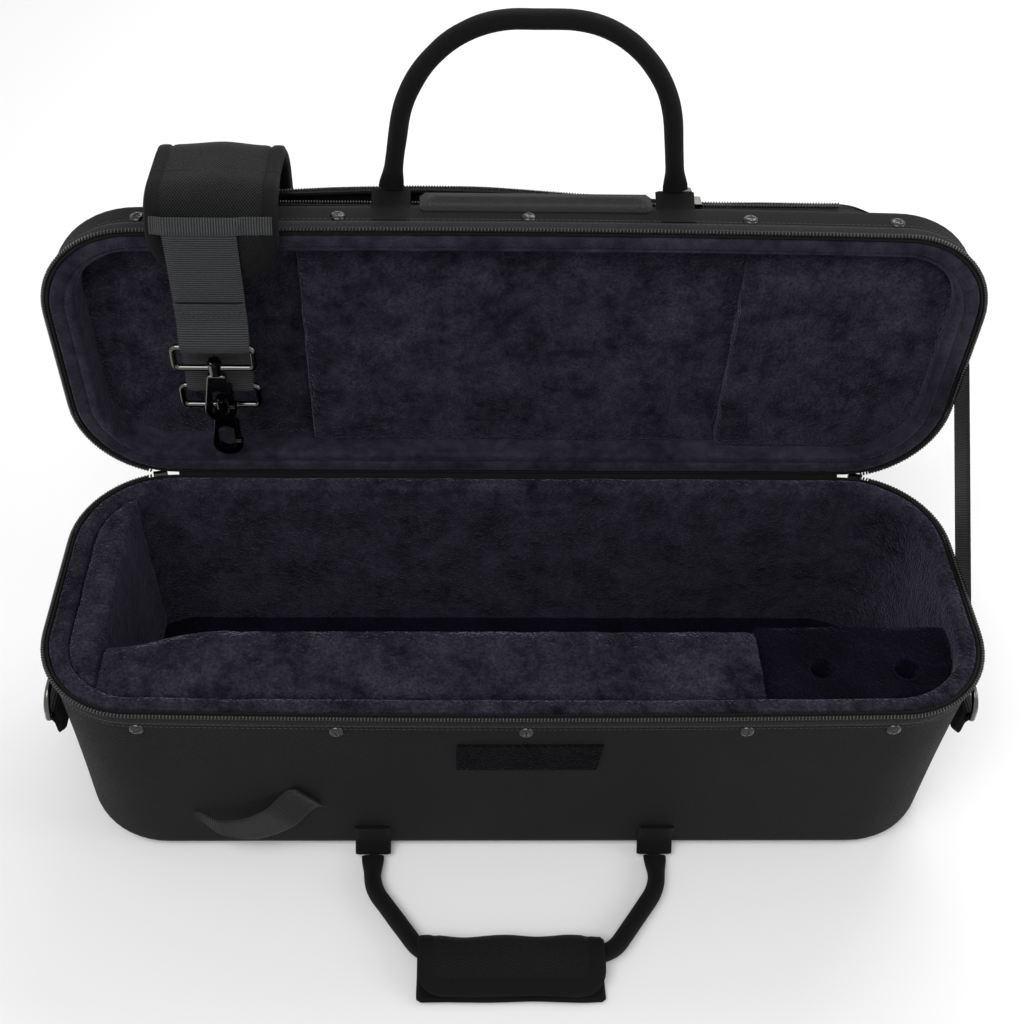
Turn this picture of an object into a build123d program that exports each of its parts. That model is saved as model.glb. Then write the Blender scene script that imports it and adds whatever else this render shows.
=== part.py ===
from build123d import *
from math import cos, radians, sin
import os

# Trumpet case, standing open on the flat underside of its base. Millimetres.
# +X runs along the case, +Y towards the hinge, +Z up, origin at the middle of the underside.
# On the lid, s is the height above the hinge edge and depth the distance behind the rim plane.

# ---------------------------------------------------------------- driving dimensions
case_length = 540.0
case_depth = 182.0
base_height = 150.0
lid_depth = 32.0
corner_radius = 56.0
bottom_edge_radius = 10.0
lid_edge_radius = 8.0
open_angle = 91.5
hinge_gap = 0.6

cover_wall = 2.0
frame_wall = 4.0
lining_inset = 12.0
lining_foot = 10.0
rim_pad_depth = 4.0
rim_pad_crown = 3.0
block_crown = 1.5

floor_pad_top = 16.0
front_block_top = 147.0
end_block_top = 148.0
mouthpiece_block_top = 138.0
end_block_x = -237.0
block_split_x = 142.0
front_block_inner_y = -31.0
mouthpiece_block_inner_y = -21.0
scoop_mouth_y = -43.0
scoop_middle = (-217.0, -36.0)
scoop_throat_x = -178.0
mouthpiece_bore_radius = 7.0
mouthpiece_bore_depth = 72.0
mouthpiece_places = [(178.0, -53.0), (227.0, -53.0)]

lid_recess_inset = 17.0
lid_recess_free_inset = 12.0
lid_recess_radius = 40.0
lid_split_left = -126.0
lid_split_right = 131.0
lid_left_depth = 21.0
lid_centre_depth = 14.0
lid_right_depth = 9.0
lid_panel_crown = 2.5
lid_border_gap = 2.0

rivet_places = [-212.0, -101.0, 5.0, 129.0, 212.0]
rivet_drop = 16.0
rivet_head_radius = 4.3
rivet_head_height = 1.8
rivet_shank_radius = 1.5
rivet_hole_radius = 1.6

chain_radius = 1.35
chain_offset = 1.45
chain_drop = 1.1
chain_start_angle = 20.0
tape_thickness = 0.9
tape_top = 2.6
tape_height = 8.6

slider_angle = 11.0
slider_gap = 0.25
slider_wall = 1.55
slider_height = 10.3
slider_half_length = 4.5
slider_drop = 0.7
slider_floor_gap = 0.35
slider_pin_stand = 1.8
slider_pin_drop = 6.5
slider_bail = dict(root=2.2, cheek_radius=1.8, pin_radius=0.85, inner_half=1.6, outer_half=2.8)
pull_eye = dict(eye_radius=1.65, hole_radius=0.95, half_neck=1.3, neck=4.0)
pull_plate = dict(length=30.0, width=6.0, thickness=1.6)

handle_radius = 5.75
handle_root_gap = 2.5
handle_tab_width = 22.0
handle_nose_radius = 1.5
base_handle_centre_x = 2.5
base_handle_axis_y = -98.5
base_handle_axis_z = 6.2
base_handle_rise = 2.4
base_handle_half_span = 88.0
base_handle_knee = (87.5, 24.0)
base_handle_reach = (56.0, 67.0)
lid_handle_centre_x = 8.0
lid_handle_axis_s = 188.0
lid_handle_axis_depth = 35.0
lid_handle_half_span = 80.0
lid_handle_knee = (71.0, 66.0)
lid_handle_reach = (36.0, 102.0)
wrap_centre_x = -1.5
wrap_length = 110.0
wrap_radius = 8.4
wrap_clearance = 0.1
wrap_front = 91.5
wrap_front_thickness = 5.0
wrap_front_sag = 4.6
wrap_corner_radius = 15.0
handle_tab_wall = 2.6
base_tab_top = 27.0
base_tab_step = (0.5, 3.5)
base_tab_nose = (0.9, 1.2)
base_handle_bends = [30.0, 20.0]
lid_tab_front = 12.0
lid_tab_step = 2.0
lid_tab_nose = (0.6, 1.4)
lid_handle_bends = [60.0, 50.0]

band_left = -56.0
band_right = 75.0
band_front_depth = 21.0
band_back_depth = 38.0
band_edge = 2.2
band_crown = 6.5
band_front_edge = 0.8

patch_centre = (8.0, 108.0)
patch_size = (84.0, 27.0)
patch_thickness = 1.6
patch_corner = 2.0

grab_loop_left = (-192.0, 34.0)
grab_loop_bend = (-158.0, 34.0)
grab_loop_right = (-121.0, 64.0)
grab_loop_width = 25.0
grab_loop_gap = 6.5
grab_loop_thickness = 1.8
grab_loop_sewn = 13.0
grab_loop_radius = 36.0
grab_loop_inner_radius = 24.0

d_ring_wire = 1.9
d_ring_y = -46.0
d_ring_z = 98.5
d_ring_stand_off = 4.4
d_ring_lean = 6.0
d_ring_height = 20.0
d_ring_tab_width = 25.0
d_ring_tab_height = 22.0
d_ring_tab_thickness = 3.0
d_ring_tab_rise = 1.0
d_ring_clearance = 0.1
d_ring_knuckle_wall = 1.8
d_ring_side_gap = 1.0
d_ring_foot_corner = 2.5
d_ring_bow_corner = 11.0

stay_width = 25.0
stay_thickness = 1.6
stay_stand_off = 3.0
stay_base_point = (-13.0, 128.0)
stay_lid_s = 91.0
stay_lid_depth = 19.0
stay_base_sewn = 12.0
stay_lid_sewn = (11.5, 24.0)
stay_overlap = 2.0

hinge_fabric_half_length = 205.0
hinge_fabric_drop = 22.0
hinge_fabric_thickness = 1.0

pocket_left_foot = (-205.0, lid_depth)
pocket_left_corner = (-199.0, 52.0)
pocket_crown = (-40.0, 64.5)
pocket_right_turn = (100.0, 46.5)
pocket_right_corner = (192.0, 46.5)
pocket_right_foot = (207.0, lid_depth)
pocket_corner_radius = 20.0
pocket_crown_radius = 500.0
pocket_turn_radius = 300.0
pocket_wall = 3.0
pocket_bottom_s = 13.0
pocket_top_s = 176.0
pocket_tape_width = 3.0
pocket_inner_chain_depth = 40.2
pocket_outer_chain_depth = 42.6
pocket_chain_radius = 1.1
pocket_mouth_left = -182.0
pocket_mouth_left_depth = 47.3
pocket_mouth_right = 98.0
pocket_chain_end = 185.0
pocket_chain_bend = 60.0
pocket_slider_gap = 0.3
pocket_slider_wall = 1.2
pocket_slider_lip = 3.0
pocket_slider_inset = 0.4
pocket_slider_half_length = 7.0
pocket_pin_stand = 1.8
pocket_bail = dict(root=2.2, cheek_radius=1.7, pin_radius=0.75, inner_half=1.5, outer_half=2.6)
pocket_eye = dict(eye_radius=1.6, hole_radius=0.85, half_neck=1.2, neck=3.6)
pocket_plate = dict(length=13.0, width=5.0, thickness=1.4)
pocket_pull_droop = 9.0

pad_centre_x = -167.0
pad_width = 72.0
pad_half_crown = 4.5
pad_half_edge = 2.5
pad_front_depth = -7.5
pad_rear_depth = 64.0
pad_top_s = 205.0
pad_bend = 22.0
pad_front_end_s = 157.0
pad_rear_end_s = 70.0
pad_end_radius = 28.0
pad_split_s = 187.5
pad_band_width = 62.0
pad_band_thickness = 1.2
pad_band_lift = 0.6
pad_band_flat = (-29.0, 21.0)
pad_front_band = (187.5, 197.0)
pad_rear_band = (84.0, 93.5)

web_width = 40.0
web_thickness = 1.5
web_gap = 0.1
front_web_x = -173.0
under_web_x = -176.0
front_web_top_s = 191.0
rear_turn_s = 24.0
rear_web_top_s = 104.0
under_web_gap = 0.15
ring_loop_gap = 0.15
under_web_end = 2.7
keeper_s = (44.0, 54.0)
keeper_frame = (6.0, 4.0)
keeper_slot = (1.0, 0.4)
keeper_corner = 1.0

strap_ring_width = 50.0
strap_ring_height = 19.0
strap_ring_wire = 2.0
strap_ring_corner = 3.0
barrel_radius = 4.0
barrel_length = 8.0
swivel_radius = 2.07
swivel_bore_radius = 2.15
swivel_head_radius = 3.3
swivel_head_height = 1.6
swivel_head_gap = 0.25
swivel_root = 3.0
barrel_gap = 0.3
hook_height = 36.0
hook_width = 19.0
hook_thickness = 5.5
hook_edge_radius = 1.2
hook_top = (11.0, 7.0)
hook_top_corner = 2.0
hook_slot = (20.0, 10.0)
hook_slot_rise = 14.5
hook_mouth = (11.0, 12.0)
hook_mouth_place = (9.0, 17.0)
hook_places = [(-175.0, 118.0, -16.0), (-177.0, 78.5, -3.0)]
gate_thickness = 3.0
gate_slot = (10.0, 6.4)
gate_slot_place = (8.0, 25.6)
gate_slot_gap = 0.2
gate_pivot = (6.2, 25.5)
gate_pin_radius = 0.8
gate_hole_radius = 0.95
gate_eye_radius = 2.3
gate_arm = (3.8, 14.2)
gate_arm_corner = 1.2
gate_arm_place = (6.6, 18.4)

# ---------------------------------------------------------------- places and planes
half_length = case_length / 2
half_depth = case_depth / 2
corner_x = half_length - corner_radius
corner_y = half_depth - corner_radius
wall_through = cover_wall + frame_wall
lean = radians(open_angle - 90)
lid_up = Vector(0, sin(lean), cos(lean))
lid_back = Vector(0, cos(lean), -sin(lean))
hinge_axis = Vector(0, half_depth, base_height + hinge_gap)


def on_lid(x, s, depth):
    """A point of the open lid."""
    return Vector(x, 0, 0) + hinge_axis + lid_back * (hinge_gap + depth) + lid_up * s


def lid_slice(s):
    """Plane across the lid: local x is X, local y is depth."""
    return Plane(origin=on_lid(0, s, 0), x_dir=(1, 0, 0), z_dir=lid_up)


def lid_side(x):
    """Plane square to X: local x is depth, local y is s."""
    return Plane(origin=on_lid(x, 0, 0), x_dir=lid_back, z_dir=(1, 0, 0))


def lid_face(depth):
    """Plane parallel to the lid's rim, facing the opening: local x is X, local y is s."""
    return Plane(origin=on_lid(0, 0, depth), x_dir=(1, 0, 0), z_dir=lid_back * -1)


base_rim = Plane.XY.offset(base_height)
lid_rim = Plane(origin=on_lid(0, half_depth, 0), x_dir=(1, 0, 0), z_dir=lid_back * -1)
front_wall = Plane(origin=(0, -half_depth, 0), x_dir=(1, 0, 0), z_dir=(0, -1, 0))
lid_free_wall = Plane(origin=on_lid(0, case_depth, 0), x_dir=(-1, 0, 0), z_dir=lid_up)

os.makedirs("parts", exist_ok=True)


def finish(piece, name):
    """Label a finished piece and write its file."""
    piece.part.label = name
    export_step(piece.part, f"parts/{name}.step")


# ---------------------------------------------------------------- shapes used more than once
def case_outline(inset, mode=Mode.ADD):
    """The case's plan outline, drawn in by inset all round."""
    RectangleRounded(case_length - 2 * inset, case_depth - 2 * inset, corner_radius - inset, mode=mode)


def tray(piece, rim, inset, height, edge_radius, wall):
    """A tray of even wall, open at the rim plane, its far edge rounded."""
    out = Axis(rim.origin, rim.z_dir)
    with BuildSketch(rim) as outline:
        case_outline(inset)
    extrude(outline.sketch, amount=-height)
    fillet(piece.faces().sort_by(out)[0].edges(), edge_radius)
    offset(amount=-wall, openings=piece.faces().sort_by(out)[-1])


def ring_layer(rim, outer_inset, inner_inset, top, height):
    """A band that follows the case's outline, from top below the rim, height thick."""
    with BuildSketch(rim.offset(-top)) as outline:
        case_outline(outer_inset)
        case_outline(inner_inset, mode=Mode.SUBTRACT)
    extrude(outline.sketch, amount=-height)


def zipper_tape(rim, hinge_side):
    """Zipper tape round the outside of a rim, left out along the straight hinge."""
    with BuildSketch(rim.offset(-tape_top)) as outline:
        case_outline(-tape_thickness)
        case_outline(0, mode=Mode.SUBTRACT)
        with Locations((0, hinge_side * half_depth)):
            Rectangle(2 * corner_x, corner_radius, mode=Mode.SUBTRACT)
    extrude(outline.sketch, amount=-tape_height)


def round_bar(path, radius):
    """A round bar along a path."""
    with BuildSketch(Plane(origin=path @ 0, z_dir=path % 0)) as outline:
        Circle(radius)
    sweep(outline.sketch, path=path)


def zipper_chain(rim, hinge_side):
    """Half of the zipper's chain, round the rim from one hinge corner to the other."""
    reach = corner_radius + chain_offset
    end_turn = hinge_side * (90 - chain_start_angle)
    near_y = hinge_side * corner_y
    side_x = corner_x + reach
    with BuildLine(rim.offset(-chain_drop)) as path:
        CenterArc((-corner_x, near_y), reach, hinge_side * 180 - end_turn, end_turn)
        Line((-side_x, near_y), (-side_x, -near_y))
        CenterArc((-corner_x, -near_y), reach, 180, hinge_side * 90)
        Line((-corner_x, -near_y - hinge_side * reach), (corner_x, -near_y - hinge_side * reach))
        CenterArc((corner_x, -near_y), reach, -hinge_side * 90, hinge_side * 90)
        Line((side_x, -near_y), (side_x, near_y))
        CenterArc((corner_x, near_y), reach, 0, end_turn)
    round_bar(path.line, chain_radius)


def rivet_holes(wall, places):
    """Holes for the rivet shanks, bored in from a wall's outer face."""
    with BuildSketch(wall) as outline:
        with Locations(*places):
            Circle(rivet_hole_radius)
    extrude(outline.sketch, amount=-wall_through, mode=Mode.SUBTRACT)


def rivet_row(piece, wall, places):
    """Domed rivets, their shanks through the cover and the frame."""
    out = Axis(wall.origin, wall.z_dir)
    with BuildSketch(wall) as outline:
        with Locations(*places):
            Circle(rivet_head_radius)
    extrude(outline.sketch, amount=rivet_head_height)
    fillet(piece.edges().group_by(out)[-1], rivet_head_height * 0.8)
    with BuildSketch(wall) as outline:
        with Locations(*places):
            Circle(rivet_shank_radius)
    extrude(outline.sketch, amount=-wall_through)


def handle_path(place, half_span, knee, reach, radii):
    """Centre line of a carrying handle, from one root to the other."""
    right_half = [(half_span, handle_root_gap), knee, reach]
    left_half = [(-x, y) for x, y in right_half]
    with BuildLine(place) as path:
        FilletPolyline(*left_half, *reversed(right_half), radius=[*radii, *reversed(radii)])
    return path.line


def pull_eye_and_plate(pivot, eye_radius, hole_radius, half_neck, neck, length, width, thickness):
    """A zipper pull: local x of the pivot plane runs along it, its normal is the pin's axis."""
    flat = Plane(origin=pivot.origin, x_dir=pivot.x_dir, z_dir=pivot.y_dir)
    with BuildSketch(pivot) as outline:
        Circle(eye_radius)
        with Locations((neck / 2, 0)):
            Rectangle(neck + 1, thickness)
        Circle(hole_radius, mode=Mode.SUBTRACT)
    extrude(outline.sketch, amount=half_neck, both=True)
    with BuildSketch(flat) as outline:
        with Locations(((neck + length) / 2, 0)):
            RectangleRounded(length - neck, width, width * 0.3)
    extrude(outline.sketch, amount=thickness / 2, both=True)


def pull_bail(pivot, root, cheek_radius, pin_radius, inner_half, outer_half):
    """Two cheeks and a pin on a zipper slider: the cheeks reach root along the plane's -y."""
    with BuildSketch(pivot) as outline:
        Circle(cheek_radius)
        with Locations((0, -root / 2)):
            Rectangle(2 * cheek_radius, root)
    extrude(outline.sketch, amount=outer_half, both=True)
    with BuildSketch(pivot) as outline:
        with Locations((0, (cheek_radius + 1 - root) / 2)):
            Rectangle(2 * cheek_radius + 2, root + cheek_radius + 1)
    extrude(outline.sketch, amount=inner_half, both=True, mode=Mode.SUBTRACT)
    with BuildSketch(pivot) as outline:
        Circle(pin_radius)
    extrude(outline.sketch, amount=outer_half, both=True)


# ---------------------------------------------------------------- base
base_rivet_places = [(x, base_height - rivet_drop) for x in rivet_places]

with BuildPart() as base_cover:
    tray(base_cover, base_rim, 0, base_height, bottom_edge_radius, cover_wall)
    rivet_holes(front_wall, base_rivet_places)
finish(base_cover, "base_cover")

with BuildPart() as base_frame:
    frame_height = base_height - rim_pad_depth - cover_wall
    frame_rim = base_rim.offset(-rim_pad_depth)
    tray(base_frame, frame_rim, cover_wall, frame_height, bottom_edge_radius - cover_wall, frame_wall)
    rivet_holes(front_wall, base_rivet_places)
finish(base_frame, "base_frame")

with BuildPart() as base_lining:
    lining_height = base_height - rim_pad_depth - lining_foot
    ring_layer(base_rim, cover_wall, lining_inset, 0, rim_pad_depth)
    ring_layer(base_rim, wall_through, lining_inset, rim_pad_depth, lining_height)
    fillet(base_lining.faces().sort_by(Axis.Z)[-1].inner_wires()[0].edges(), rim_pad_crown)
finish(base_lining, "base_lining")

with BuildPart() as floor_pad:
    with BuildSketch(Plane.XY.offset(wall_through)):
        case_outline(lining_inset)
    extrude(amount=floor_pad_top - wall_through)
finish(floor_pad, "floor_pad")


def fitted_block(piece, x_low, x_high, y_high, top):
    """A foam block on the floor pad, cut to the lining's outline."""
    with BuildSketch(Plane.XY.offset(floor_pad_top)) as outline:
        case_outline(lining_inset)
        with Locations(((x_low + x_high) / 2, (y_high - half_depth) / 2)):
            Rectangle(x_high - x_low, y_high + half_depth, mode=Mode.INTERSECT)
    extrude(outline.sketch, amount=top - floor_pad_top)
    chamfer(piece.faces().sort_by(Axis.Z)[-1].edges(), block_crown)


with BuildPart() as end_block:
    fitted_block(end_block, -half_length, end_block_x, half_depth, end_block_top)
finish(end_block, "end_block")

# The front block is scooped out at its left end, where the well widens.
with BuildPart() as front_block:
    fitted_block(front_block, end_block_x, block_split_x, front_block_inner_y, front_block_top)
    with BuildSketch(Plane.XY.offset(floor_pad_top)):
        with BuildLine():
            mouth = Line((end_block_x - 1, front_block_inner_y + 1), (end_block_x - 1, scoop_mouth_y))
            flare = ThreePointArc(mouth @ 1, scoop_middle, (scoop_throat_x, front_block_inner_y + 1))
            Line(flare @ 1, mouth @ 0)
        make_face()
    extrude(amount=front_block_top, mode=Mode.SUBTRACT)
finish(front_block, "front_block")

with BuildPart() as mouthpiece_block:
    fitted_block(
        mouthpiece_block, block_split_x, half_length, mouthpiece_block_inner_y, mouthpiece_block_top
    )
    with BuildSketch(Plane.XY.offset(mouthpiece_block_top)):
        with Locations(*mouthpiece_places):
            Circle(mouthpiece_bore_radius)
    extrude(amount=-mouthpiece_bore_depth, mode=Mode.SUBTRACT)
finish(mouthpiece_block, "mouthpiece_block")

with BuildPart() as base_zipper_tape:
    zipper_tape(base_rim, 1)
finish(base_zipper_tape, "base_zipper_tape")

with BuildPart() as base_zipper_chain:
    zipper_chain(base_rim, 1)
finish(base_zipper_chain, "base_zipper_chain")

with BuildPart() as base_rivets:
    rivet_row(base_rivets, front_wall, base_rivet_places)
finish(base_rivets, "base_rivets")

with BuildPart() as hook_loop_patch:
    with BuildSketch(front_wall):
        with Locations(patch_centre):
            RectangleRounded(*patch_size, patch_corner)
    extrude(amount=patch_thickness)
finish(hook_loop_patch, "hook_loop_patch")

# The grab loop is a band of webbing, sewn down at both ends and standing off the wall between.
with BuildPart() as grab_loop:
    with BuildSketch(front_wall):
        with BuildLine():
            FilletPolyline(grab_loop_left, grab_loop_bend, grab_loop_right, radius=grab_loop_radius)
        trace(line_width=grab_loop_width)
    extrude(amount=grab_loop_gap + grab_loop_thickness)
    loop_run = Vector(*grab_loop_right) - Vector(*grab_loop_bend)
    with BuildSketch(front_wall):
        with BuildLine():
            loop_right_inner = Vector(*grab_loop_right) - loop_run.normalized() * grab_loop_sewn
            FilletPolyline(
                (grab_loop_left[0] + grab_loop_sewn, grab_loop_left[1]),
                grab_loop_bend,
                (loop_right_inner.X, loop_right_inner.Y),
                radius=grab_loop_inner_radius,
            )
        trace(line_width=grab_loop_width + 2 * grab_loop_sewn)
    extrude(amount=grab_loop_gap, mode=Mode.SUBTRACT)
finish(grab_loop, "grab_loop")

# ---------------------------------------------------------------- shoulder strap rings on the ends
d_ring_bore = d_ring_wire + d_ring_clearance
d_ring_knuckle = d_ring_bore + d_ring_knuckle_wall
d_ring_half_width = d_ring_tab_width / 2 + d_ring_wire + d_ring_side_gap
d_ring_corners = [d_ring_foot_corner] * 2 + [d_ring_bow_corner] * 2

for side_name, side in (("left", -1), ("right", 1)):
    end_wall = Plane(origin=(side * half_length, d_ring_y, 0), x_dir=(0, side, 0), z_dir=(side, 0, 0))
    bar_centre = Vector(side * (half_length + d_ring_stand_off), d_ring_y, d_ring_z)
    bar_plane = Plane(origin=bar_centre, x_dir=(0, 0, 1), z_dir=(0, 1, 0))
    ring_lean = radians(d_ring_lean)
    ring_plane = Plane(
        origin=bar_centre, x_dir=(0, 1, 0), z_dir=(cos(ring_lean), 0, side * sin(ring_lean))
    )

    with BuildPart() as d_ring_tab:
        with BuildSketch(end_wall):
            with Locations((0, d_ring_z + d_ring_tab_rise - d_ring_tab_height / 2)):
                Rectangle(d_ring_tab_width, d_ring_tab_height)
        extrude(amount=d_ring_tab_thickness)
        with BuildSketch(bar_plane):
            Circle(d_ring_knuckle)
        extrude(amount=d_ring_tab_width / 2, both=True)
        with BuildSketch(bar_plane):
            Circle(d_ring_bore)
        extrude(amount=d_ring_tab_width, both=True, mode=Mode.SUBTRACT)
    finish(d_ring_tab, f"d_ring_tab_{side_name}")

    with BuildPart() as d_ring:
        with BuildLine(ring_plane) as ring_line:
            FilletPolyline(
                (-d_ring_half_width, 0),
                (d_ring_half_width, 0),
                (d_ring_half_width, d_ring_height),
                (-d_ring_half_width, d_ring_height),
                radius=d_ring_corners,
                close=True,
            )
        round_bar(ring_line.line, d_ring_wire)
    finish(d_ring, f"d_ring_{side_name}")

# ---------------------------------------------------------------- main zipper sliders
channel_radius = corner_radius + chain_offset + chain_radius + slider_gap
slider_outer = channel_radius + slider_wall
slider_inner = corner_radius + tape_thickness + slider_gap
slider_floor = chain_drop + chain_radius + slider_floor_gap
pin_reach = slider_outer + slider_pin_stand

for side_name, side in (("left", -1), ("right", 1)):
    turn = radians(slider_angle)
    slider_outward = Vector(side * sin(turn), cos(turn), 0)
    slider_along = Vector(cos(turn), -side * sin(turn), 0)
    corner_top = Vector(side * corner_x, corner_y, base_height)
    slider_plane = Plane(origin=corner_top, x_dir=slider_outward, z_dir=slider_along)
    pivot_point = corner_top + slider_outward * pin_reach - Vector(0, 0, slider_pin_drop)
    bail_plane = Plane(origin=pivot_point, x_dir=(0, 0, -1), z_dir=slider_along)

    with BuildPart() as slider:
        with BuildSketch(slider_plane):
            with BuildLine():
                Polyline(
                    (slider_inner, -slider_drop - slider_height),
                    (slider_outer, -slider_drop - slider_height),
                    (slider_outer, -slider_drop),
                    (channel_radius, -slider_drop),
                    (channel_radius, -slider_floor),
                    (slider_inner, -slider_floor),
                    close=True,
                )
            make_face()
        extrude(amount=slider_half_length, both=True)
        pull_bail(bail_plane, **slider_bail)
    finish(slider, f"slider_{side_name}")

    with BuildPart() as pull:
        pull_eye_and_plate(bail_plane, **pull_eye, **pull_plate)
    finish(pull, f"pull_{side_name}")

# ---------------------------------------------------------------- base handle
rise = radians(base_handle_rise)
base_handle_out = Vector(0, -cos(rise), sin(rise))
base_handle_down = Vector(0, -sin(rise), -cos(rise))
base_handle_root = Vector(base_handle_centre_x, base_handle_axis_y, base_handle_axis_z)
base_handle_plane = Plane(origin=base_handle_root, x_dir=(1, 0, 0), z_dir=base_handle_down)
base_handle_line = handle_path(
    base_handle_plane, base_handle_half_span, base_handle_knee, base_handle_reach, base_handle_bends
)

with BuildPart() as base_handle_tabs:
    for tab_x in (-base_handle_half_span, base_handle_half_span):
        tab_start = base_handle_centre_x + tab_x - handle_tab_width / 2
        with BuildSketch(Plane(origin=(tab_start, 0, 0), x_dir=(0, 1, 0), z_dir=(1, 0, 0))):
            with BuildLine():
                Polyline(
                    (-half_depth, base_tab_top),
                    (-half_depth, bottom_edge_radius + base_tab_step[0]),
                    (base_handle_axis_y + base_tab_nose[0], base_handle_axis_z - base_tab_nose[1]),
                    (base_handle_axis_y - base_tab_nose[0], base_handle_axis_z + base_tab_nose[1]),
                    (-half_depth - handle_tab_wall, bottom_edge_radius + base_tab_step[1]),
                    (-half_depth - handle_tab_wall, base_tab_top),
                    close=True,
                )
            make_face()
            with Locations((base_handle_axis_y, base_handle_axis_z)):
                Circle(handle_nose_radius)
        extrude(amount=handle_tab_width)
finish(base_handle_tabs, "base_handle_tabs")

with BuildPart() as base_handle:
    round_bar(base_handle_line, handle_radius)
finish(base_handle, "base_handle")

# The wrap is a padded sheet folded round the handle, its two edges closed on each other in front.
with BuildPart() as handle_wrap:
    wrap_start = base_handle_root + Vector(wrap_centre_x - wrap_length / 2, 0, 0)
    with BuildSketch(Plane(origin=wrap_start, x_dir=base_handle_out, z_dir=(1, 0, 0))):
        with Locations((base_handle_reach[1], 0)):
            Circle(wrap_radius)
        with Locations((wrap_front - wrap_front_thickness / 2, wrap_front_sag)):
            Rectangle(wrap_front_thickness, wrap_front_thickness)
        make_hull()
    extrude(amount=wrap_length)
    with BuildSketch(base_handle_plane.offset(wrap_front_sag)):
        with Locations((wrap_centre_x, wrap_front / 2)):
            Rectangle(2 * wrap_length, 2 * wrap_front)
            RectangleRounded(wrap_length, wrap_front, wrap_corner_radius, mode=Mode.SUBTRACT)
        with Locations((wrap_centre_x, -wrap_front)):
            Rectangle(2 * wrap_length, 3 * wrap_front, mode=Mode.SUBTRACT)
    extrude(amount=-3 * wrap_radius, mode=Mode.SUBTRACT)
    with BuildSketch(Plane(origin=base_handle_line @ 0, z_dir=base_handle_line % 0)):
        Circle(handle_radius + wrap_clearance)
    sweep(path=base_handle_line, mode=Mode.SUBTRACT)
finish(handle_wrap, "handle_wrap")

# ---------------------------------------------------------------- lid
lid_rivet_places = [(-x, -rivet_drop) for x in rivet_places]

with BuildPart() as lid_cover:
    tray(lid_cover, lid_rim, 0, lid_depth, lid_edge_radius, cover_wall)
    rivet_holes(lid_free_wall, lid_rivet_places)
finish(lid_cover, "lid_cover")

with BuildPart() as lid_frame:
    frame_height = lid_depth - rim_pad_depth - cover_wall
    frame_rim = lid_rim.offset(-rim_pad_depth)
    tray(lid_frame, frame_rim, cover_wall, frame_height, lid_edge_radius - cover_wall, frame_wall)
    rivet_holes(lid_free_wall, lid_rivet_places)
finish(lid_frame, "lid_frame")

lid_floor_depth = lid_depth - wall_through
recess_low_s = lid_recess_inset
recess_high_s = case_depth - lid_recess_free_inset
recess_centre = (0, (recess_low_s + recess_high_s - case_depth) / 2)
recess_size = (case_length - 2 * lid_recess_inset, recess_high_s - recess_low_s)


def lid_recess(mode=Mode.ADD):
    """Outline of the recess in the lid's padding, on a plane through the middle of the lid."""
    with Locations(recess_centre):
        RectangleRounded(*recess_size, lid_recess_radius, mode=mode)


with BuildPart() as lid_border:
    with BuildSketch(lid_rim):
        case_outline(cover_wall)
        lid_recess(mode=Mode.SUBTRACT)
    extrude(amount=-rim_pad_depth)
    with BuildSketch(lid_rim.offset(-rim_pad_depth)):
        case_outline(wall_through)
        lid_recess(mode=Mode.SUBTRACT)
    extrude(amount=-(lid_floor_depth - rim_pad_depth - lid_border_gap))
    lid_front = Axis(lid_rim.origin, lid_rim.z_dir)
    fillet(lid_border.faces().sort_by(lid_front)[-1].inner_wires()[0].edges(), rim_pad_crown)
finish(lid_border, "lid_border")

lid_panels = [
    ("left", -half_length, lid_split_left, lid_left_depth),
    ("centre", lid_split_left, lid_split_right, lid_centre_depth),
    ("right", lid_split_right, half_length, lid_right_depth),
]
for panel_name, panel_left, panel_right, panel_depth in lid_panels:
    with BuildPart() as lid_panel:
        with BuildSketch(lid_rim.offset(-panel_depth)):
            lid_recess()
            with Locations(((panel_left + panel_right) / 2, 0)):
                Rectangle(panel_right - panel_left, case_depth, mode=Mode.INTERSECT)
        extrude(amount=-(lid_floor_depth - panel_depth))
        fillet(lid_panel.faces().sort_by(lid_front)[-1].edges(), lid_panel_crown)
    finish(lid_panel, f"lid_panel_{panel_name}")

with BuildPart() as lid_zipper_tape:
    zipper_tape(lid_rim, -1)
finish(lid_zipper_tape, "lid_zipper_tape")

with BuildPart() as lid_zipper_chain:
    zipper_chain(lid_rim, -1)
finish(lid_zipper_chain, "lid_zipper_chain")

with BuildPart() as lid_rivets:
    rivet_row(lid_rivets, lid_free_wall, lid_rivet_places)
finish(lid_rivets, "lid_rivets")

# A strip of the cover fabric runs from wall to wall as the hinge.
with BuildPart() as hinge_fabric:
    with BuildSketch(Plane(origin=(-hinge_fabric_half_length, 0, 0), x_dir=(0, 1, 0), z_dir=(1, 0, 0))):
        lid_edge = on_lid(0, 0, 0)
        lid_inner = on_lid(0, 0, hinge_fabric_drop)
        lid_outer = on_lid(0, -hinge_fabric_thickness, hinge_fabric_drop)
        with BuildLine():
            Polyline(
                (half_depth, base_height - hinge_fabric_drop),
                (half_depth + hinge_fabric_thickness, base_height - hinge_fabric_drop),
                (half_depth + hinge_fabric_thickness, base_height - hinge_gap),
                (lid_outer.Y, lid_outer.Z),
                (lid_inner.Y, lid_inner.Z),
                (lid_edge.Y, lid_edge.Z),
                (half_depth, base_height),
                close=True,
            )
        make_face()
    extrude(amount=2 * hinge_fabric_half_length)
finish(hinge_fabric, "hinge_fabric")

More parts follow.
